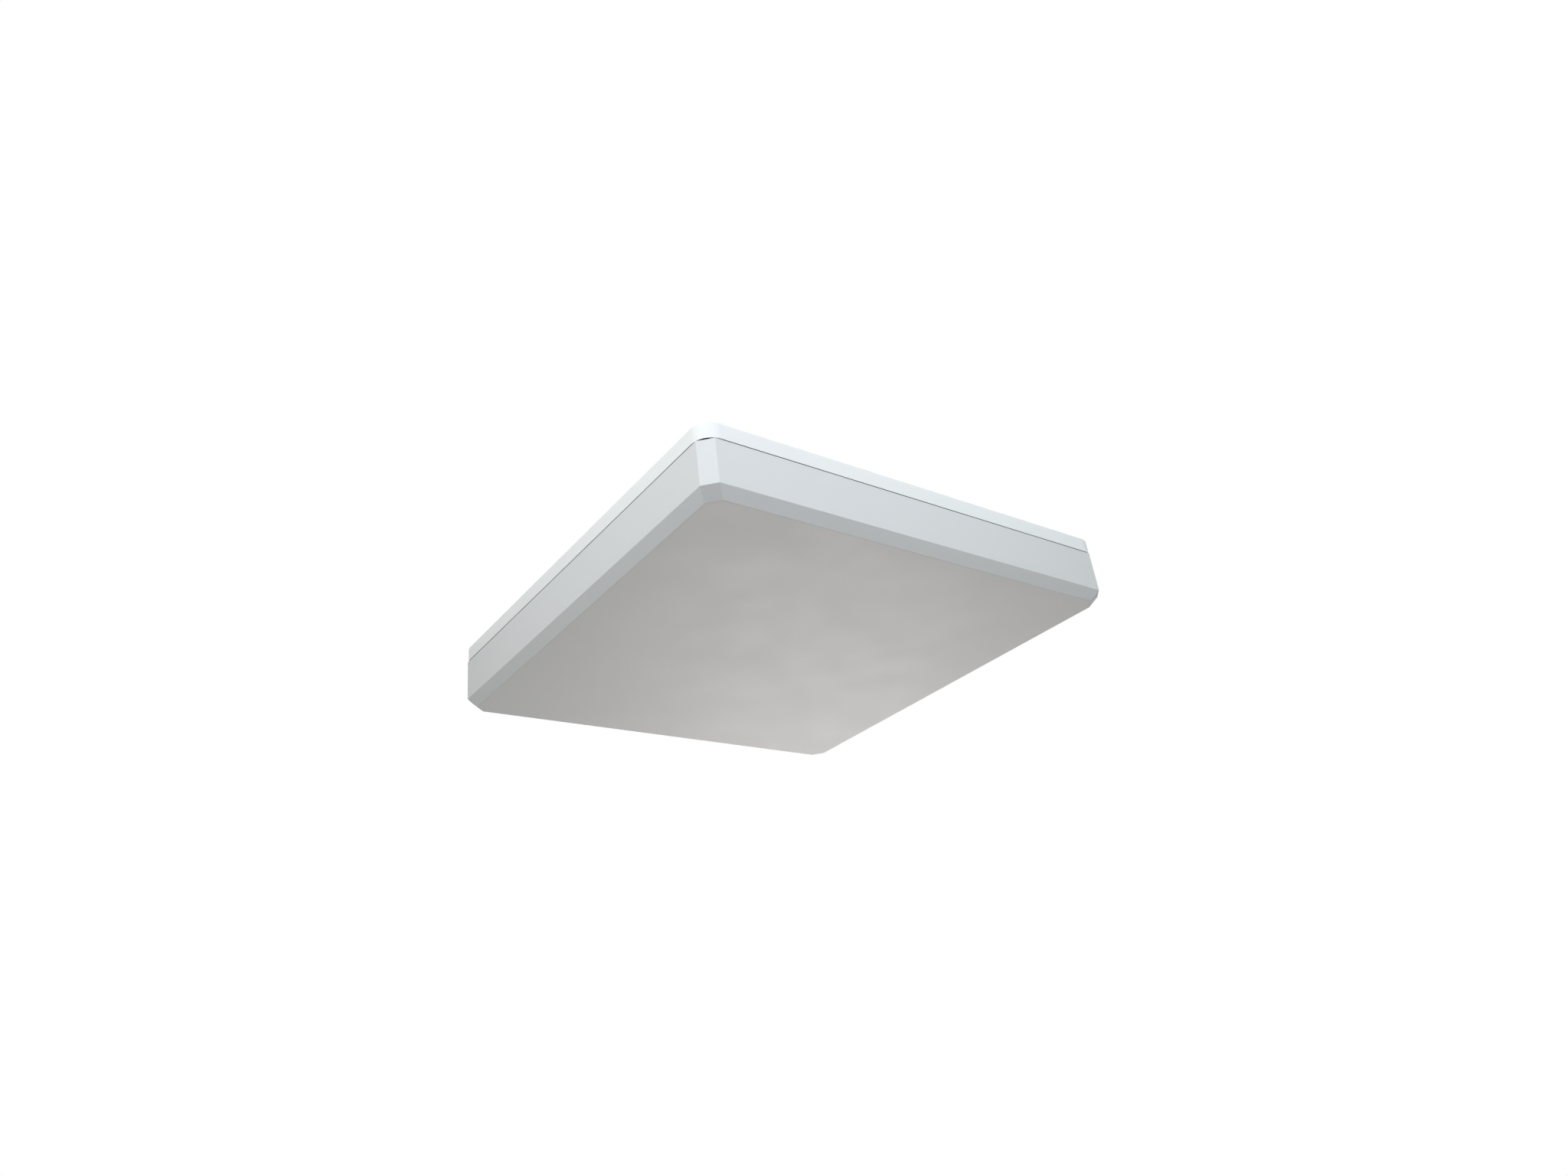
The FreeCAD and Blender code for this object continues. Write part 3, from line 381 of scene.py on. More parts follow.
def buildClothGroup():    # over and under of the glass threads
    group, given, made = startGroup("glassCloth", {"Thread": 0.45}, "Shade")
    where = parted(group, objectPlace(group))
    turns = math2(group, "DIVIDE", 1000.0 * math.pi, given["Thread"])
    warp, weft = (math2(group, "SINE", times(group, where[axis], turns), 0.0) for axis in "XY")
    feed(group, made["Shade"], spread(group, times(group, warp, weft), -1.0, 1.0))
    return group


def buildFaceSidesGroup():    # how far a face looks up or down, and along X
    group, given, made = startGroup("faceSides", {}, "Upright", "Along X")
    normal = parted(group, faceNormal(group))
    feed(group, made["Upright"], math2(group, "ABSOLUTE", normal["Z"], 0.0))
    feed(group, made["Along X"], normal["X"])
    return group


def buildTrackGroup():    # runs of copper, zone by zone, with via rings between them
    group, given, made = startGroup("boardTracks", {"Pitch": 0.9, "Zone Size": 13.0}, "Track", "Via", "Edge")

    def joinXYZ(x, y, z=None):
        node = group.nodes.new("ShaderNodeCombineXYZ")
        for title, value in (("X", x), ("Y", y), ("Z", z)):
            if value is not None:
                group.links.new(value, node.inputs[title])
        return node.outputs[0]

    def chance(vector):
        node = group.nodes.new("ShaderNodeTexWhiteNoise")
        group.links.new(vector, node.inputs["Vector"])
        return node.outputs["Value"]

    def single(kind, value):
        return math2(group, kind, value, 0.0)

    def above(value, limit):
        return math2(group, "GREATER_THAN", value, limit)

    where = parted(group, objectPlace(group))
    x, y = times(group, where["X"], 1000.0), times(group, where["Y"], 1000.0)
    zoneX, zoneY = (single("FLOOR", math2(group, "DIVIDE", value, given["Zone Size"])) for value in (x, y))
    zone = chance(joinXYZ(zoneX, zoneY))
    upright = above(zone, 0.5)
    level = math2(group, "SUBTRACT", 1.0, upright)
    slanted = times(group, plus(group, x, y), 0.7071)
    straight = plus(group, times(group, x, upright), times(group, y, level))
    isSlanted = above(single("FRACT", times(group, zone, 7.0)), 0.72)
    isStraight = math2(group, "SUBTRACT", 1.0, isSlanted)
    run = plus(group, times(group, slanted, isSlanted), times(group, straight, isStraight))
    lane = math2(group, "DIVIDE", run, given["Pitch"])
    present = above(chance(joinXYZ(single("FLOOR", lane), zoneX, zoneY)), 0.38)
    centred = single("ABSOLUTE", math2(group, "SUBTRACT", single("FRACT", lane), 0.5))
    line = times(group, spread(group, centred, 0.24, 0.18), present)
    poured = above(single("FRACT", times(group, zone, 13.0)), 0.70)
    dots = group.nodes.new("ShaderNodeTexVoronoi")
    dots.inputs["Scale"].default_value = 0.30
    dots.inputs["Randomness"].default_value = 0.75
    group.links.new(joinXYZ(x, y), dots.inputs["Vector"])
    away = dots.outputs["Distance"]
    ring = math2(group, "SUBTRACT", spread(group, away, 0.14, 0.12), spread(group, away, 0.06, 0.05))
    feed(group, made["Track"], math2(group, "MAXIMUM", line, poured))
    feed(group, made["Via"], ring)
    flat = single("ABSOLUTE", parted(group, faceNormal(group))["Z"])
    feed(group, made["Edge"], spread(group, flat, 0.7, 0.4))
    return group


def buildTapeGroup():    # turns of tape with a step where each overlaps the last
    group, given, made = startGroup("tapeTurns", {"Turn Width": 1.9}, "Shade")
    sway = times(group, noise(group, 120.0, 2.0), 0.0012)
    height = plus(group, parted(group, objectPlace(group))["Z"], sway)
    turns = math2(group, "DIVIDE", times(group, height, 1000.0), given["Turn Width"])
    feed(group, made["Shade"], spread(group, math2(group, "FRACT", turns, 0.0), 0.0, 0.22))
    return group


mouldGrain = buildGrainGroup()
edgeRub = buildEdgeGroup()
settledDust = buildDustGroup()
brushedSheet = buildBrushGroup()
tarnish = buildTarnishGroup()
zincSpangle = buildSpangleGroup()
scratches = buildScratchGroup()
glassCloth = buildClothGroup()
faceSides = buildFaceSidesGroup()
boardTracks = buildTrackGroup()
tapeTurns = buildTapeGroup()


def place(tree, group, **values):
    node = tree.nodes.new("ShaderNodeGroup")
    node.node_tree = group
    for title, value in values.items():
        node.inputs[title.replace("_", " ")].default_value = value
    return node.outputs


def mixColour(tree, mask, first, second):
    node = tree.nodes.new("ShaderNodeMix")
    node.data_type = "RGBA"
    tree.links.new(mask, node.inputs["Factor"])
    for title, value in (("A", first), ("B", second)):
        socket = [s for s in node.inputs if s.name == title and s.type == "RGBA"][0]
        if isinstance(value, tuple):
            socket.default_value = value + (1,)
        else:
            tree.links.new(value, socket)
    return [s for s in node.outputs if s.type == "RGBA"][0]


def layers(tree, base, *coats):    # each coat: where it shows, and its colour
    for mask, colour in coats:
        base = mixColour(tree, mask, base, colour)
    return base


def startMaterial(name, **fixed):
    material = bpy.data.materials.new(name)
    material.use_nodes = True
    shader = material.node_tree.nodes["Principled BSDF"]
    for title, value in fixed.items():
        shader.inputs[title.replace("_", " ")].default_value = value
    return material, material.node_tree, shader


def endMaterial(material, base, roughness, height, depth, strength=1.0):
    tree = material.node_tree
    shader = tree.nodes["Principled BSDF"]
    bump = tree.nodes.new("ShaderNodeBump")
    bump.inputs["Strength"].default_value = strength
    bump.inputs["Distance"].default_value = depth
    tree.links.new(height, bump.inputs["Height"])
    tree.links.new(bump.outputs[0], shader.inputs["Normal"])
    tree.links.new(base, shader.inputs["Base Color"])
    tree.links.new(roughness, shader.inputs["Roughness"])
    return material


# one material slot of the record each, with its own values
shellLooks = {
    "paintedCasting": {"colour": (0.868, 0.886, 0.886), "darker": 0.985, "worn": (0.66, 0.67, 0.68),
                       "dust": (0.56, 0.54, 0.51), "grain": 0.9, "patch": 60.0, "rub": 0.22, "dusty": 0.20,
                       "roughness": (0.52, 0.64), "bump": 0.00003, "ior": 1.42, "coat": 0.0},
    "coverPlastic": {"colour": (0.712, 0.726, 0.733), "darker": 0.995, "worn": (0.78, 0.79, 0.79),
                     "dust": (0.50, 0.49, 0.46), "grain": 0.45, "patch": 45.0, "rub": 0.22, "dusty": 0.18,
                     "roughness": (0.52, 0.57), "bump": 0.00002, "ior": 1.50, "coat": 0.0},
    "buttonPlastic": {"colour": (0.60, 0.055, 0.045), "darker": 0.90, "worn": (0.75, 0.35, 0.32),
                      "dust": (0.50, 0.42, 0.40), "grain": 0.30, "patch": 3.0, "rub": 0.30, "dusty": 0.15,
                      "roughness": (0.34, 0.46), "bump": 0.00001, "ior": 1.50, "coat": 0.1},
    "portPlastic": {"colour": (0.026, 0.026, 0.028), "darker": 0.75, "worn": (0.13, 0.13, 0.135),
                    "dust": (0.30, 0.29, 0.27), "grain": 0.22, "patch": 4.0, "rub": 0.35, "dusty": 0.20,
                    "roughness": (0.34, 0.52), "bump": 0.00001, "ior": 1.53, "coat": 0.0},
    "chipPlastic": {"colour": (0.045, 0.046, 0.049), "darker": 0.80, "worn": (0.16, 0.16, 0.165),
                    "dust": (0.30, 0.29, 0.27), "grain": 0.10, "patch": 2.5, "rub": 0.45, "dusty": 0.18,
                    "roughness": (0.50, 0.68), "bump": 0.00002, "ior": 1.55, "coat": 0.0},
    "ferriteBlock": {"colour": (0.085, 0.082, 0.080), "darker": 0.70, "worn": (0.24, 0.235, 0.23),
                     "dust": (0.32, 0.31, 0.29), "grain": 0.16, "patch": 1.6, "rub": 0.85, "dusty": 0.18,
                     "roughness": (0.55, 0.78), "bump": 0.00004, "ior": 1.90, "coat": 0.0},
    "thermalPad": {"colour": (0.50, 0.43, 0.52), "darker": 0.94, "worn": (0.60, 0.55, 0.62),
                   "dust": (0.55, 0.52, 0.50), "grain": 0.35, "patch": 3.0, "rub": 0.10, "dusty": 0.10,
                   "roughness": (0.66, 0.82), "bump": 0.00005, "ior": 1.41, "coat": 0.0},
    # black foam seal: its near-black colour is the seal's own and also stands in for painted shade in the
    # seam gap between base and cover
    "sealFoamAndSeamShade": {"colour": (0.018, 0.018, 0.019), "darker": 0.55, "worn": (0.06, 0.06, 0.06),
                   "dust": (0.18, 0.17, 0.16), "grain": 0.40, "patch": 4.0, "rub": 0.30, "dusty": 0.10,
                   "roughness": (0.80, 0.95), "bump": 0.00010, "ior": 1.45, "coat": 0.0},
    "footRubber": {"colour": (0.12, 0.12, 0.122), "darker": 0.82, "worn": (0.24, 0.24, 0.24),
                   "dust": (0.36, 0.34, 0.32), "grain": 0.50, "patch": 3.0, "rub": 0.55, "dusty": 0.35,
                   "roughness": (0.62, 0.80), "bump": 0.00003, "ior": 1.52, "coat": 0.0},
    "grommetRubber": {"colour": (0.060, 0.061, 0.064), "darker": 0.78, "worn": (0.15, 0.15, 0.15),
                      "dust": (0.33, 0.31, 0.29), "grain": 0.35, "patch": 3.5, "rub": 0.45, "dusty": 0.30,
                      "roughness": (0.55, 0.74), "bump": 0.00002, "ior": 1.52, "coat": 0.0},
}


def buildShell(name):
    look = shellLooks[name]
    material, tree, _ = startMaterial(name, IOR=look["ior"], Coat_Weight=look["coat"])
    grain = place(tree, mouldGrain, Size=look["grain"], Patch_Size=look["patch"])
    rub = place(tree, edgeRub, Breakup=260.0, Amount=look["rub"])["Mask"]
    dust = place(tree, settledDust, Amount=look["dusty"], Fleck_Size=1.3)["Mask"]
    darker = tuple(look["darker"] * c for c in look["colour"])
    base = layers(tree, look["colour"], (grain["Shade"], darker), (rub, look["worn"]), (dust, look["dust"]))
    polished = spread(tree, rub, 0.0, 1.0, 0.0, -0.08)
    roughness = plus(tree, spread(tree, grain["Gloss Patch"], 0.0, 1.0, *look["roughness"]), polished)
    return endMaterial(material, base, roughness, grain["Height"], look["bump"], 0.5)


# bare and plated metals: two tones of the sheet, stains, bright edges
metalLooks = {
    "springSteel": {"colour": (0.60, 0.61, 0.63), "second": (0.47, 0.48, 0.51), "stain": (0.36, 0.31, 0.25),
                    "stained": 0.25, "bright": (0.82, 0.83, 0.84), "grain": 0.16, "brushed": 1.0,
                    "roughness": (0.22, 0.36), "bump": 0.000004},
    "rivetSteel": {"colour": (0.55, 0.55, 0.56), "second": (0.42, 0.42, 0.43), "stain": (0.30, 0.27, 0.24),
                   "stained": 0.35, "bright": (0.80, 0.80, 0.80), "grain": 0.12, "brushed": 0.2,
                   "roughness": (0.30, 0.46), "bump": 0.000006},
    "zincStud": {"colour": (0.66, 0.68, 0.72), "second": (0.55, 0.60, 0.66), "stain": (0.66, 0.60, 0.42),
                 "stained": 0.35, "bright": (0.86, 0.87, 0.88), "grain": 0.10, "brushed": 0.3,
                 "roughness": (0.20, 0.36), "bump": 0.000004},
    "plateSteel": {"colour": (0.50, 0.50, 0.51), "second": (0.38, 0.38, 0.40), "stain": (0.30, 0.26, 0.22),
                   "stained": 0.30, "bright": (0.78, 0.78, 0.78), "grain": 0.20, "brushed": 0.9,
                   "roughness": (0.30, 0.44), "bump": 0.000006},
    "screwSteel": {"colour": (0.58, 0.58, 0.59), "second": (0.46, 0.46, 0.48), "stain": (0.34, 0.31, 0.28),
                   "stained": 0.28, "bright": (0.86, 0.86, 0.86), "grain": 0.09, "brushed": 0.2,
                   "roughness": (0.22, 0.40), "bump": 0.000005},
    "tinShell": {"colour": (0.70, 0.70, 0.69), "second": (0.60, 0.60, 0.60), "stain": (0.52, 0.50, 0.46),
                 "stained": 0.30, "bright": (0.88, 0.88, 0.87), "grain": 0.25, "brushed": 0.6,
                 "roughness": (0.26, 0.44), "bump": 0.000004},
    "antennaSheet": {"colour": (0.68, 0.66, 0.61), "second": (0.58, 0.57, 0.53), "stain": (0.48, 0.42, 0.33),
                     "stained": 0.40, "bright": (0.86, 0.84, 0.80), "grain": 0.18, "brushed": 0.8,
                     "roughness": (0.26, 0.42), "bump": 0.000004},
    "contactGold": {"colour": (0.92, 0.68, 0.30), "second": (0.82, 0.58, 0.25), "stain": (0.60, 0.42, 0.24),
                    "stained": 0.30, "bright": (1.0, 0.80, 0.45), "grain": 0.10, "brushed": 0.5,
                    "roughness": (0.18, 0.32), "bump": 0.000002},
    "solderTin": {"colour": (0.72, 0.72, 0.72), "second": (0.56, 0.57, 0.58), "stain": (0.40, 0.36, 0.28),
                  "stained": 0.40, "bright": (0.90, 0.90, 0.90), "grain": 0.14, "brushed": 0.0,
                  "roughness": (0.20, 0.46), "bump": 0.000010},
}


def buildMetal(name):
    look = metalLooks[name]
    material, tree, _ = startMaterial(name, Metallic=1.0)
    sheet = place(tree, brushedSheet, Grain_Size=look["grain"], Brushed=look["brushed"])
    stains = place(tree, tarnish, Patch_Size=60.0 * look["grain"], Amount=look["stained"])["Mask"]
    rub = place(tree, edgeRub, Breakup=420.0, Amount=0.6)["Mask"]
    base = layers(tree, look["colour"], (sheet["Shade"], look["second"]), (stains, look["stain"]),
                  (rub, look["bright"]))
    dull = spread(tree, stains, 0.0, 1.0, 0.0, 0.25)
    roughness = plus(tree, spread(tree, sheet["Shade"], 0.0, 1.0, *look["roughness"]), dull)
    return endMaterial(material, base, roughness, sheet["Height"], look["bump"])


# galvanised bracket: zinc crystals, drawn scratches, white bloom where it was wet
zincLook = {"colour": (0.66, 0.68, 0.70), "second": (0.53, 0.55, 0.58), "bloom": (0.70, 0.71, 0.70),
            "scratch": (0.82, 0.83, 0.84), "crystal": 7.0, "roughness": (0.24, 0.46)}


def buildZincSheet():
    material, tree, shader = startMaterial("zincSheet")
    zinc = place(tree, zincSpangle, Crystal_Size=zincLook["crystal"])
    marks = place(tree, scratches, Length=18.0, Amount=0.3)["Mask"]
    bloom = place(tree, tarnish, Patch_Size=26.0, Amount=0.28)["Mask"]
    rub = place(tree, edgeRub, Breakup=300.0, Amount=0.8)["Mask"]
    base = layers(tree, zincLook["colour"], (zinc["Shade"], zincLook["second"]), (bloom, zincLook["bloom"]),
                  (marks, zincLook["scratch"]), (rub, zincLook["scratch"]))
    dull = spread(tree, bloom, 0.0, 1.0, 0.0, 0.30)
    roughness = plus(tree, spread(tree, zinc["Shade"], 0.0, 1.0, *zincLook["roughness"]), dull)
    tree.links.new(spread(tree, bloom, 0.0, 1.0, 1.0, 0.35), shader.inputs["Metallic"])
    return endMaterial(material, base, roughness, zinc["Height"], 0.000012)


# board: green resist over copper tracks, bare glass cloth at the routed edge
boardLook = {"resist": (0.012, 0.105, 0.048), "copper": (0.032, 0.200, 0.085), "viaRing": (0.10, 0.28, 0.13),
             "cloth": (0.52, 0.50, 0.30), "weave": (0.009, 0.085, 0.040), "dust": (0.35, 0.34, 0.30)}


def buildBoardLaminate():
    material, tree, _ = startMaterial("boardLaminate", IOR=1.53, Coat_Weight=0.25, Coat_Roughness=0.15)
    tracks = place(tree, boardTracks, Pitch=0.9, Zone_Size=13.0)
    cloth = place(tree, glassCloth, Thread=0.45)["Shade"]
    dust = place(tree, settledDust, Amount=0.12, Fleck_Size=0.9)["Mask"]
    base = layers(tree, boardLook["resist"], (cloth, boardLook["weave"]),
                  (tracks["Track"], boardLook["copper"]), (tracks["Via"], boardLook["viaRing"]),
                  (tracks["Edge"], boardLook["cloth"]), (dust, boardLook["dust"]))
    raised = plus(tree, tracks["Track"], times(tree, cloth, 0.12))
    return endMaterial(material, base, spread(tree, tracks["Edge"], 0.0, 1.0, 0.34, 0.85), raised, 0.00003)


# capacitor cans: bare lid, printed sleeve on the wall
capacitorLook = {"lid": (0.80, 0.80, 0.80), "second": (0.704, 0.704, 0.704), "sleeve": (0.020, 0.022, 0.030),
                 "stripe": (0.36, 0.38, 0.42), "worn": (0.62, 0.62, 0.62)}


def buildCapacitorCan():
    material, tree, shader = startMaterial("capacitorCan")
    grain = place(tree, mouldGrain, Size=0.18, Patch_Size=3.0)
    rub = place(tree, edgeRub, Breakup=500.0, Amount=0.5)["Mask"]
    facing = place(tree, faceSides)
    lid = spread(tree, facing["Upright"], 0.35, 0.45)
    stripe = times(tree, spread(tree, facing["Along X"], 0.86, 0.90), math2(tree, "SUBTRACT", 1.0, lid))
    sleeve = mixColour(tree, stripe, capacitorLook["sleeve"], capacitorLook["stripe"])
    tin = mixColour(tree, grain["Shade"], capacitorLook["lid"], capacitorLook["second"])
    base = layers(tree, sleeve, (lid, tin), (rub, capacitorLook["worn"]))
    tree.links.new(lid, shader.inputs["Metallic"])
    roughness = spread(tree, grain["Gloss Patch"], 0.0, 1.0, 0.24, 0.38)
    return endMaterial(material, base, roughness, grain["Height"], 0.000006)


# tape round the transformer's winding, with overlapping turns
tapeLook = {
    "colour": (0.78, 0.55, 0.06),
    "overlap": (0.60, 0.38, 0.04),
    "worn": (0.85, 0.68, 0.20),
    "turn": 1.9,
}


def buildWindingTape():
    material, tree, _ = startMaterial("windingTape", IOR=1.6, Coat_Weight=0.4, Coat_Roughness=0.12)
    turns = place(tree, tapeTurns, Turn_Width=tapeLook["turn"])["Shade"]
    grain = place(tree, mouldGrain, Size=0.5, Patch_Size=5.0)
    base = layers(tree, tapeLook["colour"], (turns, tapeLook["overlap"]),
                  (spread(tree, grain["Shade"], 0.0, 1.0, 0.0, 0.25), tapeLook["worn"]))
    roughness = spread(tree, grain["Gloss Patch"], 0.0, 1.0, 0.24, 0.42)
    return endMaterial(material, base, roughness, turns, 0.00006)


# blank rating label: matt silver film with fine dots of print and a soft sheen
labelLook = {"film": (0.72, 0.73, 0.74), "second": (0.66, 0.67, 0.69), "speck": (0.48, 0.49, 0.50),
             "worn": (0.85, 0.85, 0.85)}


def buildLabelFilm():
    material, tree, _ = startMaterial("labelFilm", IOR=1.5, Metallic=0.35, Coat_Weight=0.15)
    sheet = place(tree, brushedSheet, Grain_Size=0.3, Brushed=0.4)["Shade"]
    grain = place(tree, mouldGrain, Size=0.25, Patch_Size=9.0)
    rub = place(tree, edgeRub, Breakup=300.0, Amount=0.5)["Mask"]
    specks = spread(tree, grain["Height"], 0.66, 0.76, 0.0, 0.5)
    base = layers(tree, labelLook["film"], (sheet, labelLook["second"]), (specks, labelLook["speck"]),
                  (rub, labelLook["worn"]))
    roughness = spread(tree, grain["Gloss Patch"], 0.0, 1.0, 0.32, 0.46)
    return endMaterial(material, base, roughness, grain["Height"], 0.000006)


# clear parts: frosted light pipe, tinted jack windows, lamp package with its yellow phosphor
clearLooks = {
    "lightGuide": {"colour": (0.90, 0.92, 0.93), "haze": (0.70, 0.73, 0.75), "through": 0.85, "patch": 2.0},
    "jackWindow": {"colour": (0.50, 0.76, 0.45), "haze": (0.46, 0.71, 0.41), "through": 0.22, "patch": 2.4},
    "lampPackage": {"colour": (0.93, 0.83, 0.36), "haze": (0.92, 0.92, 0.88), "through": 0.10, "patch": 0.8},
}


def buildClear(name):
    look = clearLooks[name]
    material, tree, _ = startMaterial(name, IOR=1.58, Transmission_Weight=look["through"])
    grain = place(tree, mouldGrain, Size=0.3, Patch_Size=look["patch"])
    rub = place(tree, edgeRub, Breakup=600.0, Amount=0.12)["Mask"]
    base = layers(tree, look["colour"], (grain["Shade"], look["haze"]), (rub, (0.95, 0.95, 0.95)))
    roughness = spread(tree, grain["Gloss Patch"], 0.0, 1.0, 0.16, 0.36)
    return endMaterial(material, base, roughness, grain["Height"], 0.00001)


# three finishes that only the small board parts have
smallPartLooks = {
    "ceramicTan": {"colour": (0.42, 0.30, 0.19), "second": (0.34, 0.24, 0.15), "roughness": (0.36, 0.52)},
    "resistorBlack": {"colour": (0.030, 0.030, 0.034), "second": (0.018, 0.018, 0.020),
                      "roughness": (0.22, 0.36)},
    "boardInk": {"colour": (0.78, 0.78, 0.75), "second": (0.66, 0.66, 0.62), "roughness": (0.50, 0.62)},
}


def buildSmallPart(name):
    look = smallPartLooks[name]
    material, tree, _ = startMaterial(name, IOR=1.6)
    grain = place(tree, mouldGrain, Size=0.08, Patch_Size=1.1)
    rub = place(tree, edgeRub, Breakup=900.0, Amount=0.35)["Mask"]
    brighter = tuple(min(1.0, 1.5 * c) for c in look["colour"])
    base = layers(tree, look["colour"], (grain["Shade"], look["second"]), (rub, brighter))
    roughness = spread(tree, grain["Gloss Patch"], 0.0, 1.0, *look["roughness"])
    return endMaterial(material, base, roughness, grain["Height"], 0.000006)


finish = {}
for looks, build in ((shellLooks, buildShell), (metalLooks, buildMetal), (clearLooks, buildClear),
                     (smallPartLooks, buildSmallPart)):
    finish.update({name: build(name) for name in looks})
finish.update({"zincSheet": buildZincSheet(), "boardLaminate": buildBoardLaminate(),
               "capacitorCan": buildCapacitorCan(), "windingTape": buildWindingTape(),
               "labelFilm": buildLabelFilm()})

slotFinishes = {
    "zinc_sheet": "zincSheet", "spring_steel": "springSteel", "rivet_steel": "rivetSteel",
    "white_casting": "paintedCasting", "black_gasket": "sealFoamAndSeamShade", "zinc_stud": "zincStud",
    "foot_rubber": "footRubber", "grommet_rubber": "grommetRubber", "plate_steel": "plateSteel",
    "label_film": "labelFilm", "screw_steel": "screwSteel", "light_guide": "lightGuide",
    "tin_shell": "tinShell", "port_plastic": "portPlastic", "contact_gold": "contactGold",
    "chip_plastic": "chipPlastic", "board_laminate": "boardLaminate", "thermal_pad": "thermalPad",
    "capacitor_can": "capacitorCan", "ferrite": "ferriteBlock", "winding_tape": "windingTape",
    "antenna_sheet": "antennaSheet", "white_cover": "coverPlastic", "button_plastic": "buttonPlastic",
}
nodeFinishes = {"port_lights": "jackWindow", "status_light": "lampPackage"}    # not their slot's finish


def dressNodes():
    for part in frame["record"]["subparts"]:
        name = part["node"]
        for slot in frame["nodes"][name].material_slots:
            slot.material = finish[nodeFinishes.get(name, slotFinishes[part["material_slot"]])]


dressNodes()
print("access point: finishes on")


# small helpers for meshes: a template is points in metres and faces, from sizes in millimetres
def skin(points, count, hollow=False):    # over rings of points; ends closed, or joined to each other
    rings = len(points) // count
    faces = []
    for ring in range(rings if hollow else rings - 1):
        start, following = ring * count, (ring + 1) % rings * count
        faces += [(start + k, start + (k + 1) % count, following + (k + 1) % count, following + k)
                  for k in range(count)]
    if not hollow:
        faces += [tuple(reversed(range(count))), tuple(range(len(points) - count, len(points)))]
    return points, faces


def blockShape(width, depth, height, edge):    # stands on z = 0, edges eased
    shape = bmesh.new()
    bmesh.ops.create_cube(shape, size=1.0)
    bmesh.ops.scale(shape, vec=(width * mm, depth * mm, height * mm), verts=shape.verts)
    bmesh.ops.translate(shape, vec=(0, 0, height * mm / 2), verts=shape.verts)
    bmesh.ops.bevel(shape, geom=shape.edges[:], offset=edge * mm, segments=1, affect="EDGES")
    shape.verts.index_update()
    parts = [tuple(v.co) for v in shape.verts], [tuple(v.index for v in f.verts) for f in shape.faces]
    shape.free()
    return parts


def turnedShape(profile, steps=16, hollow=False):    # (radius, height) pairs from the foot up
    angles = [2 * math.pi * k / steps for k in range(steps)]
    points = [(radius * mm * math.cos(angle), radius * mm * math.sin(angle), height * mm)
              for radius, height in profile for angle in angles]
    return skin(points, steps, hollow)


def ringShape(outer, inner, low, high, steps=40):    # flat washer with eased upper edges
    ease = (high - low) * 0.35
    return turnedShape([(outer, low), (outer, high - ease), (outer - ease, high), (inner + ease, high),
                        (inner, high - ease), (inner, low)], steps, True)


def frameShape(width, depth, line, height):    # thin rectangular outline
    points = []
    for inset, z in ((0, 0), (0, height), (line, height), (line, 0)):
        a, b = (width / 2 - inset) * mm, (depth / 2 - inset) * mm
        points += [(-a, -b, z * mm), (a, -b, z * mm), (a, b, z * mm), (-a, b, z * mm)]
    return skin(points, 4, True)


def prismShape(outline, width):    # side outline of (along, up) points, extruded across
    points = [(a * mm, side * width / 2 * mm, z * mm) for side in (-1, 1) for a, z in outline]
    return skin(points, len(outline))


def stamp(template, spots):    # a copy of the template at each (x, y, z, turn, faces down)
    points, faces = [], []
    for x, y, z, turn, down in spots:
        move = Matrix.Translation((x, y, z)) @ Matrix.Rotation(turn, 4, "Z")
        if down:
            move = move @ Matrix.Rotation(math.pi, 4, "X")
        start = len(points)
        points += [tuple(move @ Vector(p)) for p in template[0]]
        faces += [tuple(start + k for k in face) for face in template[1]]
    return points, faces


def join(*shapes):
    points, faces = [], []
    for somePoints, someFaces in shapes:
        start = len(points)
        points += somePoints
        faces += [tuple(start + k for k in face) for face in someFaces]
    return points, faces


def addPiece(name, shape, finishName, body="housing"):
    mesh = bpy.data.meshes.new(name)
    mesh.from_pydata(shape[0], [], shape[1])
    tidyUp = bmesh.new()
    tidyUp.from_mesh(mesh)
    bmesh.ops.recalc_face_normals(tidyUp, faces=tidyUp.faces)
    tidyUp.to_mesh(mesh)
    tidyUp.free()
    for face in mesh.polygons:
        face.use_smooth = True
    mesh.set_sharp_from_angle(angle=math.radians(35))
    mesh.materials.append(finish[finishName])
    piece = bpy.data.objects.new(name, mesh)
    scene.collection.objects.link(piece)
    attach(piece, body)
    return piece


def middle(node):
    low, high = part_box(node)
    return (low[0] + high[0]) / 2, (low[1] + high[1]) / 2


boardUnder, boardTop = (corner[2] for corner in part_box("main_board"))


# room on the board: each side keeps clear of what stands there
boardRoom = {
    "half": 96 * mm,
    "notchHalf": 56 * mm,    # cut-out for the port bay
    "notchStart": 60 * mm,
    "screwRoom": 7.5 * mm,
    "screws": [(-92, -92), (92, -92), (-92, 92), (92, 92), (-92, 0), (92, 0), (0, -92), (-60, 52), (60, 52)],
    "clear": 1.3 * mm,       # round every part
    "wideNodes": ["board_screws", "rear_base", "front_cover", "main_board", "cover_clips", "clip_screws",
                  "perimeter_seal", "bracket_studs", "rubber_feet"],    # boxes that span the whole board
}


def roomOn(under):
    level = boardUnder if under else boardTop
    taken = []
    for name in frame["nodes"]:
        low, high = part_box(name)
        touches = low[2] < level + 1.4 * mm and high[2] > level - 1.4 * mm
        if touches and name not in boardRoom["wideNodes"]:
            taken.append((low[0], high[0], low[1], high[1]))
    if not under:
        taken.append((-52 * mm, 52 * mm, 62 * mm, 100 * mm))
    else:
        taken.append((-4 * mm, 4 * mm, -76 * mm, -68 * mm))    # under the light pipe
    return taken


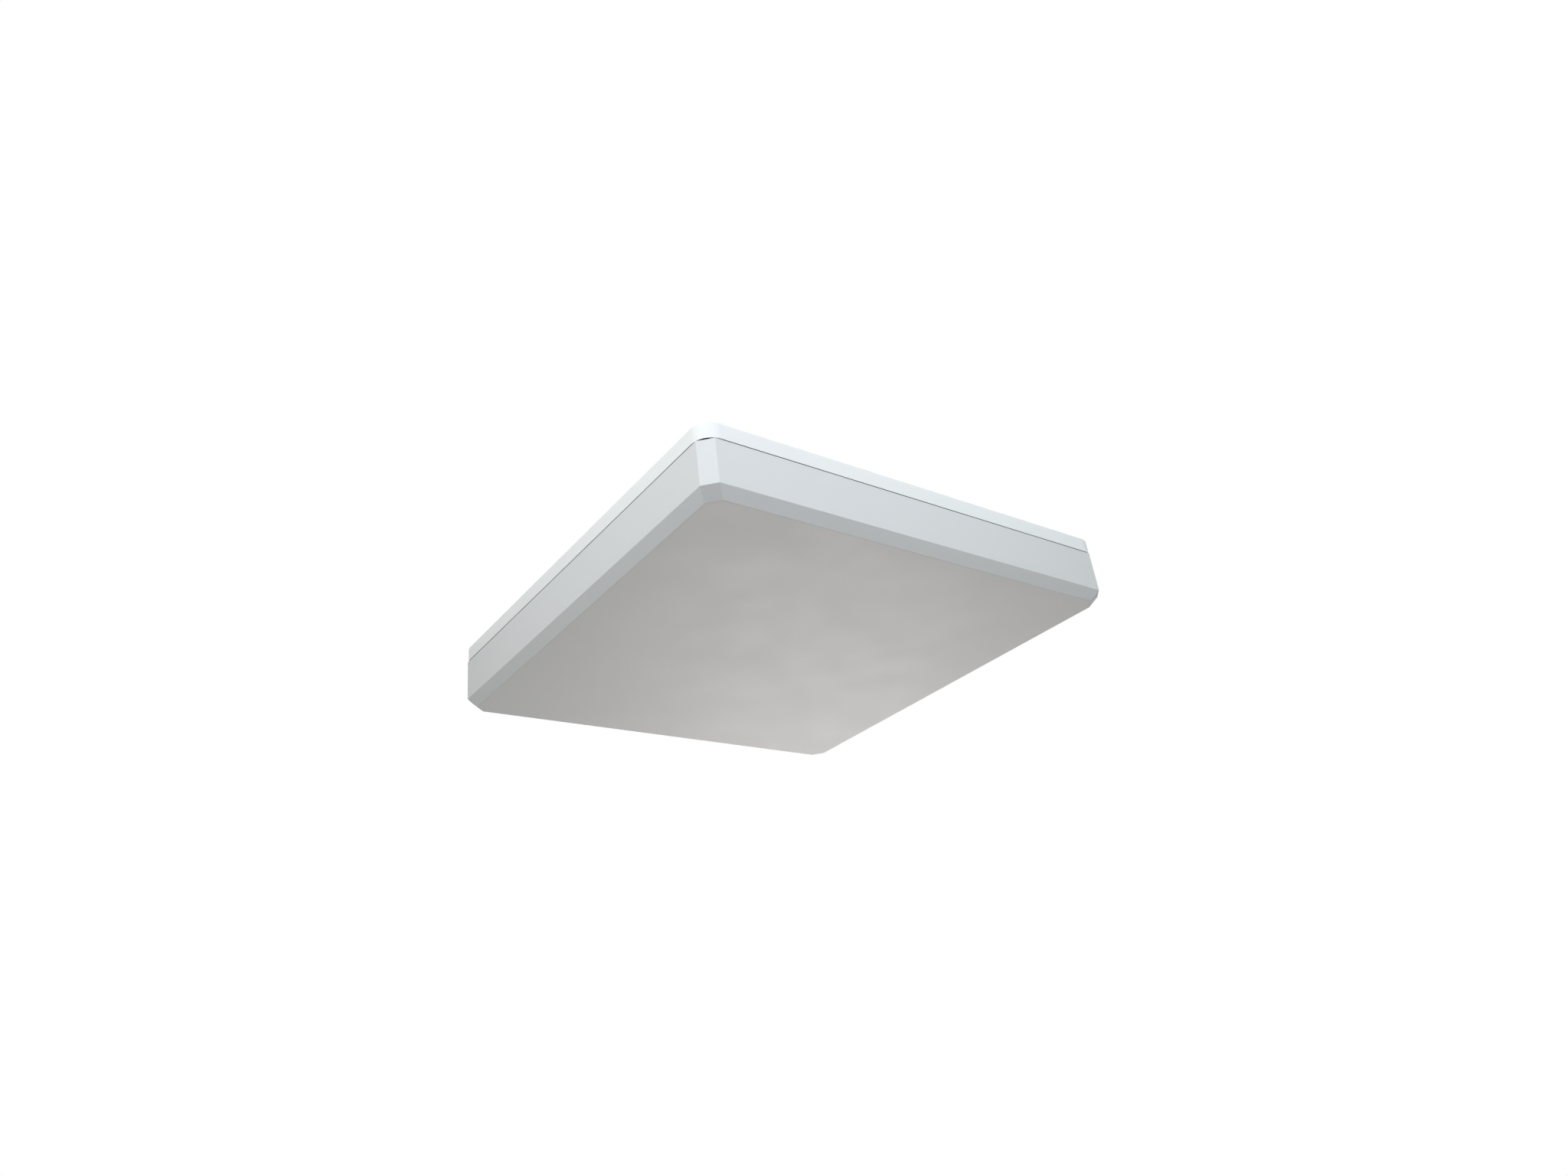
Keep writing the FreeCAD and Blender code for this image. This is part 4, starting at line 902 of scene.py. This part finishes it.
def isFree(x, y, taken, gap):
    if max(abs(x), abs(y)) > boardRoom["half"]:
        return False
    if abs(x) < boardRoom["notchHalf"] and y > boardRoom["notchStart"]:
        return False
    if any(math.hypot(x - sx * mm, y - sy * mm) < boardRoom["screwRoom"] for sx, sy in boardRoom["screws"]):
        return False
    return not any(x0 - gap < x < x1 + gap and y0 - gap < y < y1 + gap for x0, x1, y0, y1 in taken)


# capacitors and resistors, laid in short rows
smallParts = {
    "seed": 11,
    "rows": {False: 150, True: 170},       # tries on the upper and the lower side
    "capacitor": (1.6, 0.8, 0.80),         # length, width, height in mm
    "resistor": (1.6, 0.8, 0.45),
    "endLength": 0.32,
    "pitch": 1.55,
    "kinds": ["capacitor", "capacitor", "resistor"],
}


def layRows():
    chance = random.Random(smallParts["seed"])
    spots = {"capacitor": [], "resistor": []}
    for under in (False, True):
        taken = roomOn(under)
        level = boardUnder if under else boardTop
        for _ in range(smallParts["rows"][under]):
            x, y = chance.uniform(-94, 94) * mm, chance.uniform(-94, 94) * mm
            x, y = round(x / mm * 2) / 2 * mm, round(y / mm * 2) / 2 * mm
            upright = chance.random() < 0.5
            kind = chance.choice(smallParts["kinds"])
            for _ in range(chance.randint(1, 6)):
                if isFree(x, y, taken, boardRoom["clear"]):
                    spots[kind].append((x, y, level, 0.0 if upright else math.pi / 2, under))
                    taken.append((x - 0.8 * mm, x + 0.8 * mm, y - 0.8 * mm, y + 0.8 * mm))
                if upright:
                    y += smallParts["pitch"] * mm
                else:
                    x += smallParts["pitch"] * mm
    return spots


def shifted(spots, away):    # moved along their own length
    return [(x + away * math.cos(turn), y + away * math.sin(turn), z, turn, down)
            for x, y, z, turn, down in spots]


def addSmallParts():
    spots = layRows()
    ends, pads = [], []
    for kind, finishName, slotName in (("capacitor", "ceramicTan", "ferrite"),
                                       ("resistor", "resistorBlack", "chip_plastic")):
        length, width, height = smallParts[kind]
        endLength = smallParts["endLength"]
        body = blockShape(length - 2 * endLength, width * 0.94, height * 0.94, 0.03)
        addPiece(kind + "Bodies", stamp(body, spots[kind]), finishName)
        cap = blockShape(endLength + 0.02, width, height, 0.06)
        pad = blockShape(0.62, width * 1.1, 0.10, 0.03)
        for side in (-mm, mm):
            ends.append(stamp(cap, shifted(spots[kind], side * (length - endLength) / 2)))
            pads.append(stamp(pad, shifted(spots[kind], side * (length / 2 + 0.02))))
    addPiece("partEnds", join(*ends), "tinShell")
    addPiece("partSolder", join(*pads), "solderTin")
    return spots


partSpots = addSmallParts()
print("access point: small parts,", sum(len(s) for s in partSpots.values()))


# solder cones where leads come through the board
joints = {
    "radius": 0.95,
    "lead": 0.32,
    "height": 1.15,
    "jackPins": [(-3.57 + 1.02 * n, -3.2 if n % 2 else -0.7) for n in range(8)],   # from the jack's middle
    "jackPosts": [(-7.75, 2.6), (7.75, 2.6), (-5.7, -5.6), (5.7, -5.6)],
    "usbPins": [(-3.5, -5.2), (-1.0, -5.2), (1.0, -5.2), (3.5, -5.2), (-6.0, 0.5), (6.0, 0.5)],
    "powerPins": [(0.0, -5.8), (-3.6, -1.0), (3.6, -1.0)],
    "switchPins": [(-2.6, -1.2), (2.6, -1.2), (-2.6, 1.2), (2.6, 1.2)],
    "transformerPins": [(side * 6.2, -6.0 + 4.0 * n) for side in (-1, 1) for n in range(4)],
    "coilPins": [(-4, 0), (4, 0)],
}


def jointSpots(pairs):    # (node, pattern) pairs; the bay's cut-out has no board to solder to
    spots = []
    for node, pattern in pairs:
        x, y = middle(node)
        spots += [(x + dx * mm, y + dy * mm, boardUnder, 0.0, True) for dx, dy in joints[pattern]]
    side, start = boardRoom["notchHalf"] - 1.5 * mm, boardRoom["notchStart"] + 0.9 * mm
    return [spot for spot in spots if abs(spot[0]) >= side or spot[1] <= start]


def addJoints():
    radius, lead, height = joints["radius"], joints["lead"], joints["height"]
    cone = turnedShape([(radius * 1.12, 0.0), (radius * 1.12, 0.04), (radius, 0.06),
                        (radius * 0.80, height * 0.16), (radius * 0.55, height * 0.36),
                        (lead * 1.35, height * 0.62), (lead, height * 0.78), (lead, height * 0.95),
                        (lead * 0.7, height)])
    small = [(x * 0.5, y * 0.5, z * 0.8) for x, y, z in cone[0]], cone[1]
    jacks = ("ethernet_jack_shell_1", "ethernet_jack_shell_2")
    pairs = [(node, "jackPosts") for node in jacks]
    pairs += [("usb_port_shell", "usbPins"), ("power_jack", "powerPins"), ("reset_switch", "switchPins"),
              ("power_transformer_bobbin", "transformerPins")]
    big = jointSpots(pairs)
    for node, count in (("bulk_capacitors", 2), ("small_capacitors", 3)):
        low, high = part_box(node)
        each = (high[0] - low[0]) / count
        for n in range(count):
            x = low[0] + (n + 0.5) * each
            big += [(x + side * 1.3 * mm, (low[1] + high[1]) / 2, boardUnder, 0.0, True) for side in (-1, 1)]
    big += jointSpots([("power_inductor_1", "coilPins"), ("power_inductor_2", "coilPins")])
    fine = jointSpots([(node, "jackPins") for node in jacks])
    addPiece("throughJoints", join(stamp(cone, big), stamp(small, fine)), "solderTin")


addJoints()


# solder along the shields and at the antennas' feet
seams = {"pitch": 4.3, "length": 2.4, "width": 0.8, "height": 0.35}


def addSeams():
    bead = blockShape(seams["length"], seams["width"], seams["height"], 0.16)
    spots = []
    for node in ("radio_shield_1", "radio_shield_2"):
        low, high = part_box(node)
        for axis in (0, 1):
            length = high[axis] - low[axis]
            count = int(length / (seams["pitch"] * mm))
            for n in range(count):
                along = low[axis] + (n + 0.5) * length / count
                for edge in (low[1 - axis] - 0.25 * mm, high[1 - axis] + 0.25 * mm):
                    x, y = (along, edge) if axis == 0 else (edge, along)
                    spots.append((x, y, boardUnder, 0.0 if axis == 0 else math.pi / 2, True))
    addPiece("shieldSolder", stamp(bead, spots), "solderTin")


addSeams()


# feet of the antennas, found in their meshes at the board's level
def addAntennaFeet():
    feet = []
    names = ["wifi_antenna_%d" % n for n in (1, 2, 3, 4)] + ["scan_antenna"]
    for name in names:
        mesh = frame["nodes"][name].data
        spots = {(round(v.co.x / mm, 1), round(v.co.y / mm, 1)) for v in mesh.vertices
                 if abs(v.co.z - boardUnder) < 0.05 * mm}
        groups = []
        for x, y in sorted(spots):
            near = [g for g in groups if any(math.hypot(x - a, y - b) < 3.2 for a, b in g)]
            if near:
                near[0].append((x, y))
            else:
                groups.append([(x, y)])
        for group in groups:
            x, y = (sum(values) / len(group) * mm for values in zip(*group))
            feet.append((x, y, boardUnder, 0.0, True))
    pad = join(blockShape(3.4, 2.2, 0.06, 0.02),
               turnedShape([(1.05, 0.0), (1.0, 0.12), (0.75, 0.32), (0.40, 0.46)]))
    addPiece("antennaFeet", stamp(pad, feet), "solderTin")


addAntennaFeet()


# leads of the packaged parts
leads = {
    "width": 0.42, "sheet": 0.16, "reach": 1.15,
    "lan_transformer_1": {"count": 6, "pitch": 2.2, "side": 1, "height": 1.4},
    "lan_transformer_2": {"count": 6, "pitch": 2.2, "side": 1, "height": 1.4},
    "flash_chip": {"count": 9, "pitch": 1.27, "side": 0, "height": 0.55},
}


def addLeads():
    shapes = []
    sheet, reach = leads["sheet"], leads["reach"]
    for name in ("lan_transformer_1", "lan_transformer_2", "flash_chip"):
        setup = leads[name]
        low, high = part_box(name)
        height = setup["height"]
        outline = [(-0.1, height), (reach * 0.38, height), (reach * 0.58, sheet), (reach, sheet),
                   (reach, 0.0), (reach * 0.48, 0.0), (reach * 0.28, height - sheet), (-0.1, height - sheet)]
        lead = prismShape(outline, leads["width"])
        x, y = middle(name)
        for n in range(setup["count"]):
            away = (n - (setup["count"] - 1) / 2) * setup["pitch"] * mm
            spots = [(low[0], y + away, boardTop, math.pi, False), (high[0], y + away, boardTop, 0.0, False)]
            if setup["side"]:
                spots = [(x + away, low[1], boardTop, -math.pi / 2, False),
                         (x + away, high[1], boardTop, math.pi / 2, False)]
            shapes.append(stamp(lead, spots))
    pad = blockShape(0.28, 0.7, 0.10, 0.02)
    for name in ("ethernet_controller_1", "ethernet_controller_2"):
        x, y = middle(name)
        low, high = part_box(name)
        half = (high[0] - low[0]) / 2 + 0.12 * mm
        for n in range(15):
            away = (n - 7) * 0.5 * mm
            shapes.append(stamp(pad, [(x + away, y - half, boardTop, 0.0, False),
                                      (x + away, y + half, boardTop, 0.0, False),
                                      (x - half, y + away, boardTop, math.pi / 2, False),
                                      (x + half, y + away, boardTop, math.pi / 2, False)]))
    addPiece("chipLeads", join(*shapes), "tinShell")


addLeads()


# gold pads: test points in the gaps, and fiducials near the corners
pads = {"seed": 23, "tries": 260, "radius": 0.6, "height": 0.035}


def addPads():
    chance = random.Random(pads["seed"])
    spots = []
    for under in (False, True):
        taken = roomOn(under)
        taken += [(x - 1.2 * mm, x + 1.2 * mm, y - 1.2 * mm, y + 1.2 * mm)
                  for kind in partSpots.values() for x, y, z, t, down in kind if down == under]
        for _ in range(pads["tries"] // 2):
            x, y = chance.uniform(-94, 94) * mm, chance.uniform(-94, 94) * mm
            if isFree(x, y, taken, 1.6 * mm):
                spots.append((x, y, boardUnder if under else boardTop, 0.0, under))
                taken.append((x - 1 * mm, x + 1 * mm, y - 1 * mm, y + 1 * mm))
    radius, height = pads["radius"], pads["height"]
    disc = turnedShape([(radius, 0.0), (radius, height * 0.7), (radius * 0.93, height)])
    rim = [(x * mm, y * mm, boardUnder, 0.0, True) for x, y in boardRoom["screws"]]
    marks = [(x * mm, y * mm, boardUnder, 0.0, True) for x, y in ((-84, -84), (84, -84), (-84, 80))]
    fiducial = join(turnedShape([(0.5, 0.0), (0.5, 0.02), (0.46, 0.03)]), ringShape(1.6, 1.3, 0.0, 0.03))
    addPiece("boardPads", join(stamp(disc, spots), stamp(ringShape(4.3, 3.0, 0.0, 0.03), rim),
                               stamp(fiducial, marks)), "contactGold")


addPads()


# printed outlines round the packages, with a dot at their first lead
packages = ["processor", "memory_chip_1", "memory_chip_2", "flash_chip", "ethernet_controller_1",
            "ethernet_controller_2", "lan_transformer_1", "lan_transformer_2"]
ink = {
    "line": 0.16, "height": 0.02, "gap": 0.45, "leadGap": 1.3, "shieldGap": 1.1,
    "upper": packages + ["power_inductor_1", "power_inductor_2", "power_transformer_core",
                         "ethernet_jack_shell_1", "ethernet_jack_shell_2", "usb_port_shell", "power_jack",
                         "reset_switch"],
    "lower": ["radio_shield_1", "radio_shield_2", "status_light", "wifi_antenna_1", "wifi_antenna_2",
              "wifi_antenna_3", "wifi_antenna_4", "scan_antenna"],
}


def addInk():
    shapes = []
    dot = turnedShape([(0.35, 0.0), (0.35, 0.015), (0.32, 0.02)], 12)
    for names, level, under in ((ink["upper"], boardTop, False), (ink["lower"], boardUnder, True)):
        for name in names:
            low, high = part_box(name)
            gap = ink["gap"] * mm
            if "shield" in name:
                gap = ink["shieldGap"] * mm
            elif name in leads:
                gap += ink["leadGap"] * mm
            top = min(high[1] + gap, 61.5 * mm) if abs(low[0]) < 53 * mm else high[1] + gap
            width, depth = high[0] - low[0] + 2 * gap, top - (low[1] - gap)
            x, y = (low[0] + high[0]) / 2, (top + low[1] - gap) / 2
            shapes.append(stamp(frameShape(width / mm, depth / mm, ink["line"], ink["height"]),
                                [(x, y, level, 0.0, under)]))
            corner = (x - width / 2 - 0.8 * mm, y + depth / 2 - 0.6 * mm)
            shapes.append(stamp(dot, [(*corner, level, 0.0, under)]))
    addPiece("boardInk", join(*shapes), "boardInk")


addInk()


# first-lead dimples on the packages: shallow moulded rings
def addPackageMarks():
    shapes = []
    for name in packages + ["radio_chip_1", "radio_chip_2"]:
        low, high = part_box(name)
        under = "radio" in name
        spot = (low[0] + 1.4 * mm, high[1] - 1.4 * mm, low[2] if under else high[2], 0.0, under)
        shapes.append(stamp(ringShape(0.55, 0.40, 0.0, 0.03, 20), [spot]))
    for name in ("power_inductor_1", "power_inductor_2"):
        spot = (*middle(name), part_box(name)[1][2], 0.0, False)
        shapes.append(stamp(ringShape(4.1, 3.6, 0.0, 0.05), [spot]))
    addPiece("packageMarks", join(*shapes), "chipPlastic")


addPackageMarks()
print("access point: board dressed")


# witness marks inside the cover: ejector rings, the gate with its torn sprue, a plain date dial
coverMarks = {
    "ejectors": [(-60, -60), (60, -60), (-60, 60), (60, 60), (0, -36), (0, 40), (-36, 0), (36, 0), (-96, -20),
                 (96, -20), (-96, 20), (96, 20)],
    "ring": (3.0, 2.7, -0.02, 0.10),    # outer, inner, foot, top
    "gate": (12, 12),
    "dial": (-12, 60),
    "dialRing": (4.4, 4.1, -0.02, 0.12),
    "dialReach": 3.1,
    "wall": 2.2,
}


def flatSpots(places, level):
    return [(x * mm, y * mm, level, 0.0, False) for x, y in places]


def addCoverMarks():
    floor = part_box("front_cover")[0][2] + coverMarks["wall"] * mm
    sprue = turnedShape([(1.9, -0.02), (1.9, 0.05), (1.5, 0.12), (0.9, 0.16), (0.75, 0.42), (0.45, 0.50)], 28)
    x, y = coverMarks["dial"]
    ticks = []
    for k in range(12):
        angle = k * math.pi / 6
        ticks.append(((x + coverMarks["dialReach"] * math.cos(angle)) * mm,
                      (y + coverMarks["dialReach"] * math.sin(angle)) * mm, floor, angle, False))
    shapes = [stamp(ringShape(*coverMarks["ring"]), flatSpots(coverMarks["ejectors"], floor)),
              stamp(sprue, flatSpots([coverMarks["gate"]], floor)),
              stamp(blockShape(0.9, 0.25, 0.12, 0.04), ticks),
              stamp(blockShape(2.4, 0.4, 0.12, 0.04), [(x * mm, y * mm, floor, 0.9, False)]),
              stamp(ringShape(*coverMarks["dialRing"]), flatSpots([coverMarks["dial"]], floor))]
    addPiece("coverWitnessMarks", join(*shapes), "coverPlastic", "cover")


addCoverMarks()


# round ejector marks cast into the base's back
baseMarks = {"ejectors": [(-53, -98), (-53, -87), (53, -98), (53, -87), (72, -98)],
             "ring": (2.6, 2.3, -0.02, 0.12)}
addPiece("baseCastMarks", stamp(ringShape(*baseMarks["ring"]),
                                flatSpots(baseMarks["ejectors"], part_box("rear_base")[1][2])),
         "paintedCasting")


# printed border and blank rules on the rating label
labelInk = {"inset": 1.6, "line": 0.3, "height": 0.02, "rules": (0.36, 0.62)}


def addLabelInk():
    low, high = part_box("rating_label")
    width, depth = ((high[axis] - low[axis]) / mm - 2 * labelInk["inset"] for axis in (0, 1))
    x, y = middle("rating_label")
    line, height = labelInk["line"], labelInk["height"]
    rule = blockShape(width - 2 * line, line, height, 0.005)
    foot = y - depth * mm / 2
    shapes = [stamp(frameShape(width, depth, line, height), [(x, y, high[2], 0.0, False)]),
              stamp(rule, [(x, foot + share * depth * mm, high[2], 0.0, False)
                           for share in labelInk["rules"]]),
              stamp(blockShape(line, depth * 0.36, height, 0.005),
                    [(x + width * 0.14 * mm, foot + depth * 0.18 * mm, high[2], 0.0, False)])]
    addPiece("labelInk", join(*shapes), "resistorBlack")


addLabelInk()


# contact strips on the USB tongue and the two springs that grip a plug
usbDetail = {"strips": [-3.5, -1.0, 1.0, 3.5], "strip": (1.2, 7.4, 0.12), "springs": [-2.6, 2.6],
             "spring": (1.5, 4.6, 0.25)}


def addUsbDetail():
    low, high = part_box("usb_port_shell")
    tongueLow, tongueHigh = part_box("usb_port_tongue")
    x = (low[0] + high[0]) / 2
    level = tongueLow[2] + 0.55 * (tongueHigh[2] - tongueLow[2]) - 0.87 * mm
    width, length, height = usbDetail["strip"]
    y = tongueHigh[1] - (length / 2 + 0.5) * mm
    addPiece("usbContacts", stamp(blockShape(width, length, height, 0.04),
                                  [(x + dx * mm, y, level, 0.0, True) for dx in usbDetail["strips"]]),
             "contactGold")
    width, length, sheet = usbDetail["spring"]
    outline = [(0.0, -0.02), (0.0, sheet), (length * 0.55, 0.95), (length * 0.80, 0.95), (length, 0.45),
               (length, 0.20), (length * 0.80, 0.70), (length * 0.55, 0.70), (length * 0.2, -0.02)]
    spots = [(x + dx * mm, high[1] - 6.2 * mm, high[2] - 0.30 * mm, -math.pi / 2, True)
             for dx in usbDetail["springs"]]
    addPiece("usbSprings", stamp(prismShape(outline, width), spots), "springSteel")


addUsbDetail()


# latch leaf under the bracket, with rolled bends
latchLeaf = {
    "line": [(10.0, -1.5), (-16.0, -1.5), (-39.0, -3.1), (-42.0, -3.4), (-46.0, -5.8),
             (-50.0, -3.4)],    # y, z
    "bend": 1.3,
    "width": 12.0,
    "sheet": 0.6,
    "edge": 0.12,
    "keep": 0.70,
}


def rolledLine(corners, bend):    # each corner becomes a short curve
    line = [corners[0]]
    for before, corner, after in zip(corners, corners[1:], corners[2:]):
        toBefore = (Vector(before) - Vector(corner)).normalized() * bend
        toAfter = (Vector(after) - Vector(corner)).normalized() * bend
        for share in (0.0, 0.25, 0.5, 0.75, 1.0):
            line.append(tuple(Vector(corner) + toBefore * (1 - share) ** 2 + toAfter * share ** 2))
    return line + [corners[-1]]


def addLatchLeaf():
    line = rolledLine([(y * mm, z * mm) for y, z in latchLeaf["line"]], latchLeaf["bend"] * mm)
    half, sheet, edge = latchLeaf["width"] * mm / 2, latchLeaf["sheet"] * mm, latchLeaf["edge"] * mm
    across = [(-half + edge, 0), (half - edge, 0), (half, -edge), (half, -sheet + edge),
              (half - edge, -sheet), (-half + edge, -sheet), (-half, -sheet + edge), (-half, -edge)]
    points = [(x, y, z + drop) for y, z in line for x, drop in across]
    leaf = addPiece("latchLeaf", skin(points, len(across)), "springSteel", "bracket")
    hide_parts("latch_spring")
    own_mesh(leaf)


addLatchLeaf()
print("access point: marks on")
